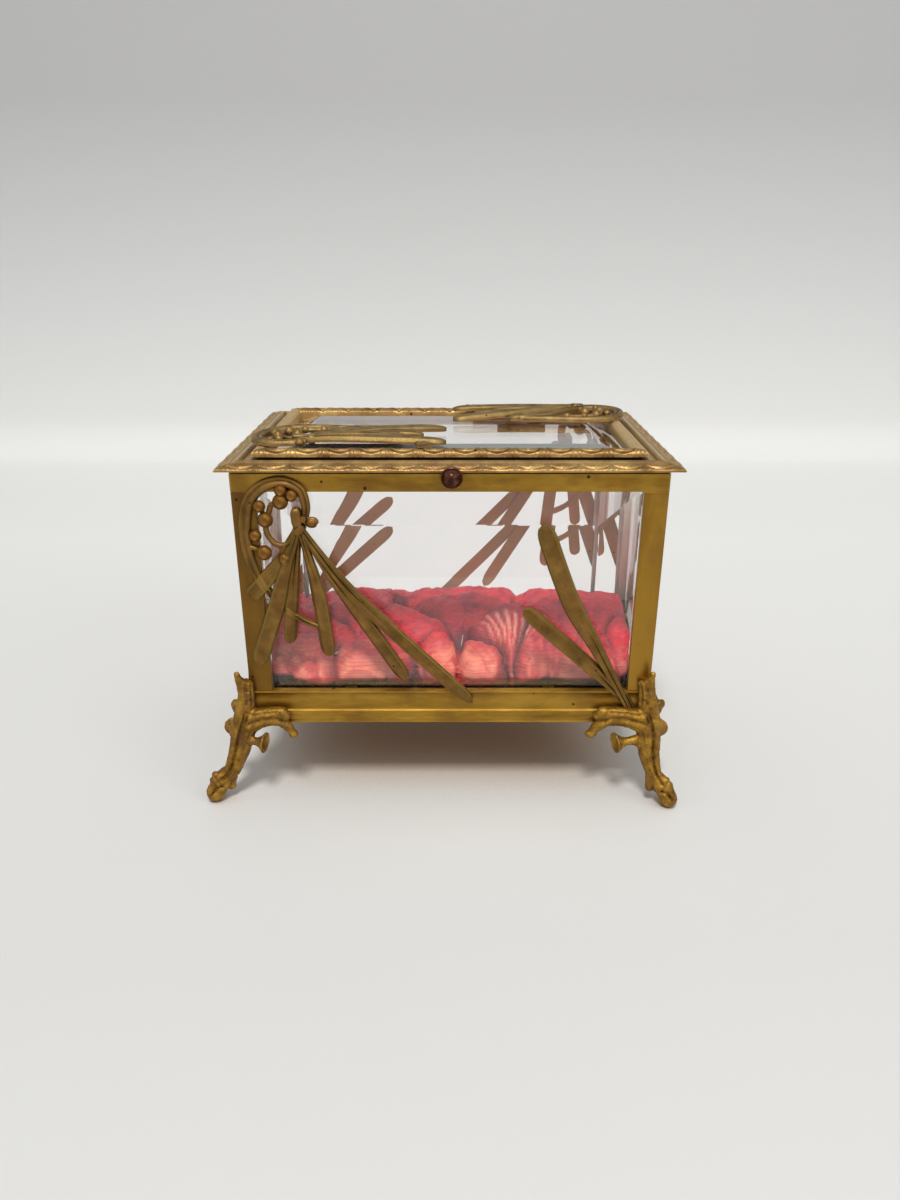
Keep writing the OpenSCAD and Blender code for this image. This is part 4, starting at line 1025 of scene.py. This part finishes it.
def makeFootMesh(toe, leaning):
    at, limbs = footLimbs(toe)
    if leaning:
        # a longer stem for its horn, and a stub beside the toe
        low = np.array([0, 0, baseZ])
        limbs += strung((low + (2.4, 3.0, -8.6), 3.0), (low + (-1.4, 4.1, -5.4), 1.8))
        limbs += strung((np.array([3.6, 5.8, 12.0]), 2.3), (np.array([2.2, 5.9, 5.8]), 1.4))
    tidy = bmesh.new()
    for limb in limbs:
        addLimb(tidy, *limb)
    addHorn(tidy, cornerFaces[0], (-3.0, 0, 0) if leaning else (0, 0, 0))
    addHorn(tidy, cornerFaces[1], (0, 0, 0) if leaning else (2.6, 0, 0.6))
    bmesh.ops.recalc_face_normals(tidy, faces=tidy.faces)
    rough = bpy.data.meshes.new("footRough")
    tidy.to_mesh(rough)
    tidy.free()
    holder = newObject("footRough", rough)
    remesh = holder.modifiers.new("skin", "REMESH")
    remesh.mode, remesh.voxel_size = "VOXEL", foot["voxel"]
    smooth = holder.modifiers.new("soften", "SMOOTH")
    smooth.factor, smooth.iterations = 0.5, foot["smoothing"]
    mesh = evaluated(holder)
    points, normals = skinOf(mesh)
    bark, grit = barkNoise(points, limbs)
    push = -foot["bark"] * (1 - np.minimum(1, np.abs(bark) / 0.1)) ** 1.5 + 0.06 * bark + 0.12 * grit
    knee, ankle, heel, tip = at.values()
    creases = []
    for order in cornerFaces:
        def off(x, y, z):
            return np.array((x, y, z))[order]

        low = off(0, 0, baseZ)
        creases += [
            ([low + off(0.8, 5.4, 6), low + off(3.2, 6.4, -0.5), knee + off(1.0, 3.8, 2), ankle + off(0.6, 3.4, 0.5),
              heel + off(-0.6, 3.8, 2.4)], 0.62, 1.1),
            ([low + off(2.2, 5.8, 5), low + off(4.6, 6.0, -1), knee + off(2.4, 3.4, 2), ankle + off(1.8, 2.8, 1)],
             0.5, -0.4),
            ([low + off(-0.6, 6.0, -1), knee + off(-1.4, 3.4, 1.5), ankle + off(-1.2, 3.0, 0)], 0.4, 0.5),
            ([heel + off(-2.2, 3.2, -0.4), heel + off(0.5, 3.8, -0.6), tip + off(1.6, 2.8, -0.4)], 0.5, 0.9),
            ([heel + off(1.2, 1.6, 3.6), heel + off(-0.4, 3.4, 1.6), heel + off(-2.2, 3.2, -0.4)], 0.4, 0.6),
            ([heel + off(0.4, 3.6, 1.0), tip + off(0.6, 3.0, 1.2)], 0.35, 0.35)]
        creases += [([low + off(*p) for p in line], width, depth) for line, width, depth in armCreases]
    for line, width, depth in creases:
        line = smoothLine(line, 5)
        line = points[[np.square(points - p).sum(axis=1).argmin() for p in line]]
        gap, place = nearestOnLine(points, line)
        push -= depth * np.exp(-(gap / (width * 1.15)) ** 2) * np.clip(np.minimum(place, 1 - place) * 8 + 0.3, 0, 1)
    points = points + normals * push[:, None]
    if leaning:
        # this casting was set further in and its arm reaches further along the rail
        front = np.clip((points[:, 1] + 3.5) / 4.5, 0, 1)
        points[:, 0] -= 2.2 * front * np.clip((points[:, 2] - 3) / 13, 0, 1)
        points[:, 0] -= 0.25 * np.clip(-points[:, 0] - 3, 0, 99) * front
        points[:, 0] -= 1.3 * np.clip((points[:, 2] - baseZ - 13) / 6, 0, 1)
    # where the casting is soldered to the case it is filed flat
    inside = (points[:, 0] < 0) & (points[:, 1] < 0) & (points[:, 2] > baseZ)
    depth = np.stack([-points[:, 0], -points[:, 1], points[:, 2] - baseZ], axis=1)
    nearest = depth.argmin(axis=1)
    for axis, target in ((0, -0.05), (1, -0.05), (2, baseZ + 0.05)):
        chosen = inside & (nearest == axis)
        points[chosen, axis] = target
    points[:, 2] = np.maximum(points[:, 2], 0.0)
    return points, [tuple(p.vertices) for p in mesh.polygons]


toes = {"splayed": (14.6, 5.4), "straight": (8.2, 9.0)}
feet = [("front_left", -1, -1, "splayed"), ("front_right", 1, -1, "straight"),
        ("back_right", 1, 1, "splayed"), ("back_left", -1, 1, "straight")]
footMeshes = {kind: makeFootMesh(toe, kind == "straight") for kind, toe in toes.items()}
for corner, signX, signY, kind in feet:
    points, faces = footMeshes[kind]
    shape = newShape()
    addPoints(shape, (points + np.array([caseHalf[0], caseHalf[1], 0])) * np.array([signX, signY, 1]))
    shape["faces"] = [f if signX * signY > 0 else tuple(reversed(f)) for f in faces]
    toPiece("branchFoot_" + corner, shape, footBrass, "casket", "foot_" + corner, sharp=70)
print("feet made")


cushion = {
    "half": (65.9, 40.9), "low": 34.0, "edge": 10.5, "rise": 12.5, "lean": 6.5, "proud": 0.8,
    "tufts": [(-42, -22), (4, -19), (50, -18), (-19, 14), (27, 14)], "tuftDepth": 7.0, "tuftSpread": 9.0,
    "voxel": 1.45, "cap": 2.2,
    # broad rises and dips seen from above: place, reach, height
    "swells": [
        ((-40, 36), (25, 15), -1.0), ((14, 33), (6, 9), -2.0), ((63, -6), (8, 24), 1.6), ((46, 31), (15, 14), -2.2),
        ((-25, 28), (9, 13), -1.0), ((63, 30), (8, 14), 0.4), ((-36, -17), (8, 7), -2.0), ((4, -22), (9, 6), -2.0),
        ((3.2, -31), (2.6, 10), -11.0), ((12, -31), (8, 7), -2.4), ((-8, -31), (9, 7), -2.8), ((4, -31), (14, 7), -3.0),
        ((-28, -33), (11, 5), 0.8), ((-13, -1), (8, 7), -2.2), ((10, 6), (14, 9), 2.2), ((38, 8), (9, 10), 1.6),
        ((-2, 30), (9, 6), 1.8)],
    # folds seen from above: points, half width, depth, and how dark the painted shade in it is
    "folds": [
        ([(-42, -22), (-42.4, -31), (-41, -42)], 0.9, 1.6, 0.45), ([(3.4, -24), (2.6, -31), (3, -42)], 0.5, 0.9, 0.3),
        ([(-14, -29), (-12.5, -42)], 2.6, 4.6, 0.9), ([(-17, -34), (-10, -38), (-9, -42)], 0.7, 1.6, 0.8),
        ([(5, -21), (13, -25), (18.6, -31), (20.3, -42)], 1.7, 4.6, 1.05),
        ([(31, -8), (27.5, -22), (24.8, -33), (24.0, -42)], 1.3, 3.0, 1.0), ([(31, -24), (31.4, -42)], 0.5, 0.8, 0.3),
        ([(34.6, -22), (35, -42)], 0.5, 0.9, 0.35), ([(38, -24), (38, -42)], 0.5, 0.5, 0.15),
        ([(50, -18), (55, -30), (57, -42)], 1.0, 1.6, 0.4), ([(-42, -24), (-28, -27.5), (-14, -30)], 1.2, 2.2, 0.6),
        ([(4, -21), (-6, -23), (-13, -29)], 1.0, 3.0, 0.85), ([(-46, -3), (-40, -8), (-36.5, -17)], 0.8, 2.0, 0.7),
        ([(4, -21), (-7, -6), (-15, 6), (-22, 26)], 2.6, 2.4, 0.75), ([(4, -20), (15, -6), (20, 14)], 1.4, 1.2, 0.25),
        ([(-40, -20), (-30, -6), (-22, 8)], 1.6, 1.6, 0.3), ([(50, -18), (40, -4), (30, 12)], 1.4, 1.4, 0.3),
        ([(50, -18), (38, -20), (26, -27)], 0.9, 1.0, 0.25), ([(27, 14), (29, 28), (28, 42)], 1.4, 2.0, 0.35),
        ([(-42, -22), (-54, -14), (-67, -12)], 1.2, 1.4, 0.3), ([(-19, 14), (-38, 20), (-56, 34)], 1.3, 1.2, 0.3),
        ([(27, 14), (44, 22), (60, 30)], 1.3, 1.2, 0.3), ([(-56, -28), (-50, -34), (-48, -42)], 0.7, 0.8, 0.3),
        ([(-62, -30), (-58, -36), (-57, -42)], 0.7, 0.8, 0.3), ([(66, 4), (60, -3), (55, -14)], 1.2, 1.8, 0.75),
        ([(55, -14), (58, -26), (60, -40)], 0.8, 1.4, 0.5), ([(-25, 1), (-14, -14), (-5, -26)], 2.6, -1.8, 0.0)],
    # the fan of pleats: its root, how far out and wide it lies, its turn and spread (radians), ridges and height
    "fan": {"root": (22, -42), "out": 21, "wide": 11, "turn": 0.05, "spread": 0.42, "ridges": 27, "height": 1.0},
    # shaded pockets: place, reach
    "pockets": [((4, -19), (9.5, 7)), ((-18, 10), (6, 6)), ((-35, -17), (6, 5)), ((-13, -37), (3, 8)),
                ((22.5, -38), (1.4, 6)), ((31, 12), (5, 4))],
    # where it stayed red: place, reach
    "vivid": [((-20, -7), (6, 5)), ((-13, -15), (7, 5)), ((-5, -25), (5, 5)), ((-37, -11), (6, 5)),
              ((1, -34), (3.5, 8)), ((62, -22), (5, 9)), ((-10, 22), (9, 7)), ((19, -27), (5, 3))]}


def near(x, y, places):
    # 1 at any of the places, falling to 0 over their reaches
    share = np.zeros(len(x))
    for (px, py), (rx, ry) in places:
        share = np.maximum(share, np.exp(-((x - px) / rx) ** 2 - ((y - py) / ry) ** 2))
    return share


def cushionTop(x, y):
    c = cushion
    u, w = np.clip(x / c["half"][0], -1, 1), np.clip(y / c["half"][1], -1, 1)
    ends = 1 - np.abs(u) ** np.where(u > 0, 14, 5)
    height = c["low"] + c["edge"] + c["rise"] * np.sqrt(ends * (1 - w ** 4)) - c["lean"] * (1 + w) / 2
    height -= c["tuftDepth"] * near(x, y, [(t, (c["tuftSpread"],) * 2) for t in c["tufts"]])
    for place, reach, rise in c["swells"]:
        height += rise * near(x, y, [(place, reach)])
    return height


def cushionBase():
    # a closed pad, smaller than it ends up and drawn in towards its foot
    c = cushion
    shape = newShape()
    around = turnsOf(150)

    def ring(share, t=None):
        x = share * c["half"][0] * np.sign(np.cos(around)) * np.abs(np.cos(around)) ** (1 / 7)
        y = share * c["half"][1] * np.sign(np.sin(around)) * np.abs(np.sin(around)) ** (1 / 7)
        top = cushionTop(x, y)
        z = top if t is None else c["low"] + (cushionTop(x / share * 0.96, y / share * 0.96) - 3.0 - c["low"]) * t
        return list(zip(x, y, z))

    rows = [ring(share, 0.0) for share in np.linspace(0.04, 0.9, 20)]
    rows += [ring(0.9 + 0.062 * math.sin(math.pi / 2 * t) ** 0.8, t) for t in np.linspace(0.12, 1.0, 8)]
    rows += [ring(share) for share in 0.955 - 0.925 * np.linspace(0, 1, 44) ** 1.25]
    addRings(shape, rows)
    mesh = bpy.data.meshes.new("cushionBase")
    mesh.from_pydata(shape["points"], [], shape["faces"])
    return mesh


# metres per millimetre in the cloth's simulation, its length in frames, and the cloth
simScale, simFrames = 0.01, 20
clothLook = {
    "quality": 6, "mass": 0.15, "tension_stiffness": 12, "compression_stiffness": 12, "shear_stiffness": 4,
    "bending_stiffness": 0.02, "shrink_min": -0.09, "use_pressure": True, "uniform_pressure_force": 4,
    "vertex_group_mass": "held"}


def pressed(mesh):
    # air pressure inside a loose silk cover held at its tufts and round its foot; worked at ten times its size
    c = cushion
    holder = newObject("cushionSim", mesh)
    remesh = holder.modifiers.new("remesh", "REMESH")
    remesh.mode, remesh.voxel_size = "VOXEL", c["voxel"]
    even = evaluated(holder)
    even.transform(Matrix.Scale(simScale, 4))
    holder = newObject("cushionSim", even)
    start = np.array([v.co for v in even.vertices])
    held = holder.vertex_groups.new(name="held")
    for i, p in enumerate(start * 100):
        gap = min(math.hypot(p[0] - t[0], p[1] - t[1]) for t in c["tufts"])
        cleft = abs(p[0] - 3.2) < 1.4 and -38 < p[1] < -23
        if p[2] < c["low"] + 1.0 or ((gap < 2.4 or cleft) and p[2] > c["low"] + 6):
            held.add([i], 1.0, "REPLACE")
    cloth = holder.modifiers.new("cloth", "CLOTH")
    for key, value in clothLook.items():
        setattr(cloth.settings, key, value)
    cloth.settings.effector_weights.gravity = 0
    cloth.point_cache.frame_start, cloth.point_cache.frame_end = 1, simFrames
    for step in range(1, simFrames + 1):
        bpy.context.scene.frame_set(step)
    graph = bpy.context.evaluated_depsgraph_get()
    puffed = holder.evaluated_get(graph).to_mesh()
    moved = np.array([v.co for v in puffed.vertices]) - start
    length = np.linalg.norm(moved, axis=1)
    cap = c["cap"] * simScale
    moved *= (cap * np.tanh(length / cap) / np.maximum(length, 1e-9))[:, None]
    start = start + moved
    bpy.context.scene.frame_set(1)
    holder.modifiers.clear()
    even.vertices.foreach_set("co", start.astype(np.float32).ravel())
    even.update()
    fine = holder.modifiers.new("fine", "SUBSURF")
    fine.levels = fine.render_levels = 1
    mesh = evaluated(holder)
    mesh.transform(Matrix.Scale(1 / simScale, 4))
    return mesh


def makeCushion():
    c = cushion
    mesh = pressed(cushionBase())
    points, normals = skinOf(mesh)
    x, y, z = points.T
    rising = np.clip((z - c["low"] - 1.0) / 3.0, 0, 1)
    push, fold = np.zeros(len(points)), np.zeros(len(points))
    nearestFold = np.full(len(points), 1e9)
    # each fold is pressed in and gets painted shade, as dark as its last number
    for line, width, depth, dark in c["folds"]:
        gap, place = nearestOnLine(points[:, :2], smoothLine(line, 8))
        notch = np.exp(-(gap / width) ** 1.3)
        push -= depth * notch
        fold = np.maximum(fold, notch * dark)
        nearestFold = np.minimum(nearestFold, gap + (0 if depth > 1.2 else 2 if depth > 0 else 99))
    push += 2.0 * (1 - np.exp(-(nearestFold / 5.0) ** 2))
    # small pleats gathered in round each tuft, and painted shade in its dimple
    for index, (tuftX, tuftY) in enumerate(c["tufts"]):
        r, turn = np.hypot(x - tuftX, y - tuftY), np.arctan2(y - tuftY, x - tuftX)
        wave = np.cos(turn * 11 + 1.2 * np.sin(turn * 3 + index) + index)
        push += 0.5 * np.sign(wave) * np.abs(wave) ** 0.7 * np.exp(-((r - 6.0) / 4.5) ** 2)
        fold = np.maximum(fold, (0.9 if index < 2 else 0.5) * np.exp(-(r / 4.4) ** 2))
    # a fan of sharp pleats that opens away from the glass above the middle fold
    fan = c["fan"]
    dx, dy = x - fan["root"][0], y - fan["root"][1]
    r, turn = np.hypot(dx, dy), np.arctan2(dx, dy)
    fanned = np.exp(-((r - fan["out"]) / fan["wide"]) ** 4) * np.exp(-((turn - fan["turn"]) / fan["spread"]) ** 4)
    ridges = 1 - np.abs(np.sin(turn * fan["ridges"] + 0.3 * np.sin(r / 4)))
    push += (fan["height"] * ridges + 0.2 * np.cos(turn * 61 + r / 6)) * fanned
    crumple = (noiseAt(points / 7.0) + 0.5 * noiseAt(points / (2.0, 3.4, 3.4) + (0, 0, 9))
               - 0.9 * np.abs(noiseAt(points / (5.0, 7.0, 6.0) + (0, 0, 5))))
    push += 1.15 * crumple + 0.2
    # thin creases that wander over the slack silk, with painted shade along them
    crease = np.exp(-np.abs(noiseAt(points / (8.5, 6.5, 9) + (0, 0, 31))) / 0.035)
    push -= 0.8 * crease
    fold = np.maximum(fold, 0.35 * crease)
    # painted shade in the pockets and the deep dimple by the middle front tuft
    fold = np.maximum(fold, 0.32 * near(x, y, c["pockets"]) * np.clip(1.1 - push / 3, 0.3, 1))
    fold = np.maximum(fold, 0.9 * near(x, y, [((4, -20), (8.5, 5.5))]))
    points = points + normals * (push * rising)[:, None]
    # the front puffs sag on both sides of the middle tuft
    sag = 3.4 * near(x, y, [((4, -30), (15, 8))]) + 4.5 * near(x, y, [((3.2, -30), (1.8, 9))])
    points[:, 2] -= sag * np.clip((points[:, 2] - 45) / 8, 0, 1)
    # the silk turns under where it meets the rail
    under = np.clip((46.5 - points[:, 2]) / 5, 0, 1) ** 1.2 * 3.0
    for axis in (0, 1):
        reach = c["half"][axis] + c["proud"]
        side = np.clip(np.abs(points[:, axis]) - (reach - 6), 0, 6) / 6
        points[:, axis] -= np.sign(points[:, axis]) * under * side
        points[:, axis] = np.clip(points[:, axis], -reach, reach)
    points[:, 2] = np.maximum(points[:, 2], c["low"] + 0.05)
    x, y, z = points.T
    # peach on the front puffs where they were rubbed, more on their raised places: wear with a painted highlight
    front = np.clip((-y - 24) / 8, 0, 1)
    worn = front * np.clip((z - 44.5) / 2.5, 0, 1) * np.clip((55.5 - z) / 3, 0.25, 1)
    worn *= 0.35 + 0.65 * np.clip(push, 0, 1)
    worn = np.maximum(worn, 0.9 * fanned * np.clip(ridges * 1.6 - 0.3, 0, 1))
    worn = np.maximum(worn, 0.55 * near(x, y, [((-57, -30), (13, 13))]))
    worn *= 1 - 0.45 * near(x, y, [((-64, -40), (5, 5)), ((60, -30), (11, 14))])
    # dark at the foot: frayed lining, and painted shade where the silk turns under against the rail
    frayedAndShaded = np.clip(near(x, y, [((-60, -41), (11, 8)), ((42, -41), (17, 6)), ((-30, -41), (14, 4))]) * 1.3, 0.2, 1)
    lining = np.clip((42.4 + 4.6 * frayedAndShaded + 4 * near(x, y, [((67, -38), (6, 9))]) - z) / 1.6, 0, 1)
    shape = newShape()
    # paler on the crests of the fan's pleats: threadbare, with a painted highlight
    threadbare = np.clip(fanned * np.clip(ridges * 1.5 - 0.25, 0, 1), 0, 0.85)
    addPoints(shape, points, fold=np.clip(fold - 0.1, 0, 0.92), worn=worn, lining=lining, threadbare=threadbare,
              vivid=near(x, y, c["vivid"]) * (1 - 0.6 * worn))
    shape["faces"] = [tuple(p.vertices) for p in mesh.polygons]
    piece = toPiece("tuftedSilkCushion", shape, silk, "casket", "cushion", sharp=180)


makeCushion()
print("cushion made")

# cotton threads that draw the tufts down, each knotted with a cut tail
threads = newShape()
tails = [((-0.6, -0.4), (-1.6, 0.4), 0.6), ((0.9, -0.6), (0.4, -1.0), 8.6), ((0.5, 0.6), (1.4, 0.2), 0.6),
         ((-0.5, 0.6), (-1.3, -0.3), 1.7), ((0.6, -0.5), (1.2, 0.6), 1.9)]
for (x, y), (first, second, height) in zip(cushion["tufts"], tails):
    z = float(cushionTop(np.array([x]), np.array([y]))[0]) + (-0.8 if height < 1 else 0.4)
    knot = [(x + 0.55 * math.cos(a) * (1 + 0.12 * math.sin(3 * a)), y + 0.55 * math.sin(a), z + 0.12 * a / 2)
            for a in np.linspace(0, 5 * math.pi, 40)]
    addTube(threads, np.array(knot), np.full(len(knot), 0.3), sides=8)
    for lean, grow in ((first, 1.0), (second, 0.6)):
        tail = smoothLine([(x, y, z + 0.4), (x + lean[0] * 0.5, y + lean[1] * 0.4, z + height * grow * 0.5),
                           (x + lean[0], y + lean[1] * 0.9, z + height * grow)], 6)
        addTube(threads, tail, np.linspace(0.3, 0.18, len(tail)), sides=8)
toPiece("tuftThreads", threads, cottonThread, "casket", "tuft_threads", sharp=60)


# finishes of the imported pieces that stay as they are
kept = {
    "glass_tabs": sheetBrass, "lid_glass_tabs": lidBrass, "floor_plate": plateBrass,
    "cushion_card": greyBoard, "hinge_pins": pinSteel}
for node, material in kept.items():
    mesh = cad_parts[node].data
    mesh.materials.clear()
    mesh.materials.append(material)


studio = {"wallY": 0.5, "curve": 0.035, "wide": 3.0, "diffuse": 0.46, "seen": 0.95}
# paper tones by height above the floor, in metres
wallTones = [(0.0, "#F2F2F0"), (0.04, "#E8E8E6"), (0.12, "#DCDDDC"), (0.3, "#B9B9B9"), (0.6, "#B2B2B2")]


def makePaper():
    # matt white paper on a wall that falls away into shade, and the same paper on the table
    material, tree, place = newMaterial("matteWhitePaper")
    axes = addNode(tree, "SeparateXYZ", links={0: place}).outputs
    tone = addRamp(tree, axes[2], wallTones)
    # painted shade: the table is a little greyer towards the front
    tone = mixColour(tree, rangeOf(tree, axes[1], -0.12, 0.25, 0.9, 0.0), tone, "#D8D8D6")
    # painted shadow: darkened and warmed close under the brass, for its shadow and the warm light off it
    under = openTo(tree, 70, 8, [(0.1, 1.0), (0.58, 0.0)])
    return surfaced(material, tree, {
        "Base Color": mixColour(tree, under, tone, "#C6964F", "MULTIPLY"), "Roughness": 0.6, "IOR": 1.45,
        "Specular IOR Level": 0.3})


def makeSweep():
    # the floor runs back and turns up into the wall
    s = studio
    line = [(-3.0, 0.0), (-1.0, 0.0)] + [(y, 0.0) for y in np.linspace(-0.6, s["wallY"] - s["curve"], 9)]
    for a in np.linspace(0, math.pi / 2, 13)[1:]:
        line.append((s["wallY"] - s["curve"] + s["curve"] * math.sin(a), s["curve"] * (1 - math.cos(a))))
    line += [(s["wallY"], z) for z in (0.2, 0.4, 0.6, 1.2)]
    mesh = bpy.data.meshes.new("paperSweep")
    points = [(x, y, z) for y, z in line for x in (-s["wide"], s["wide"])]
    mesh.from_pydata(points, [], [(2 * i, 2 * i + 1, 2 * i + 3, 2 * i + 2) for i in range(len(line) - 1)])
    mesh.polygons.foreach_set("use_smooth", [True] * len(mesh.polygons))
    mesh.materials.append(makePaper())
    sweep = newObject("paperSweep", mesh)


makeSweep()

world = bpy.data.worlds.new("studio")
bpy.context.scene.world = world
world.use_nodes = True
world.node_tree.nodes.clear()
# soft room light, which glass and metal see brighter than cloth and paper get it
path = addNode(world.node_tree, "LightPath").outputs
seen = path["Is Camera Ray"]
for ray in ("Is Glossy Ray", "Is Transmission Ray"):
    seen = mathOf(world.node_tree, "MAXIMUM", seen, path[ray])
strength = rangeOf(world.node_tree, seen, 0.0, 1.0, studio["diffuse"], studio["seen"])
sky = addNode(world.node_tree, "Background", links={"Color": "#F7F7F7", "Strength": strength})
addNode(world.node_tree, "OutputWorld", links={"Surface": sky.outputs[0]})


def addLamp(name, place, target, size, watts, colour):
    lamp = bpy.data.lights.new(name, "AREA")
    lamp.shape, lamp.size, lamp.energy = "SQUARE", size, watts
    lamp.color = hexColour(colour)[:3]
    holder = newObject(name, lamp)
    holder.location = place
    holder.rotation_euler = (Vector(target) - Vector(place)).to_track_quat("-Z", "Y").to_euler()


addLamp("softboxAbove", (-0.07, -0.8, 1.42), (0, 0, 0.05), 0.3, 15.5, "#FFFEFC")
addLamp("softboxRight", (0.75, -0.6, 0.7), (0, 0, 0.07), 0.6, 1.9, "#FFFEFB")

cameraLook = {"lens": 25.89, "sensor": 36, "place": (0.00005, -0.3168, 0.1906), "tilt": 67.36}
cameraData = bpy.data.cameras.new("camera")
cameraData.lens, cameraData.sensor_width, cameraData.clip_start = cameraLook["lens"], cameraLook["sensor"], 0.01
camera = newObject("camera", cameraData)
camera.location = cameraLook["place"]
camera.rotation_euler = (math.radians(cameraLook["tilt"]), 0, 0)
bpy.context.scene.camera = camera
bpy.context.scene.view_settings.view_transform = "Standard"

print("stage, lights and camera made")
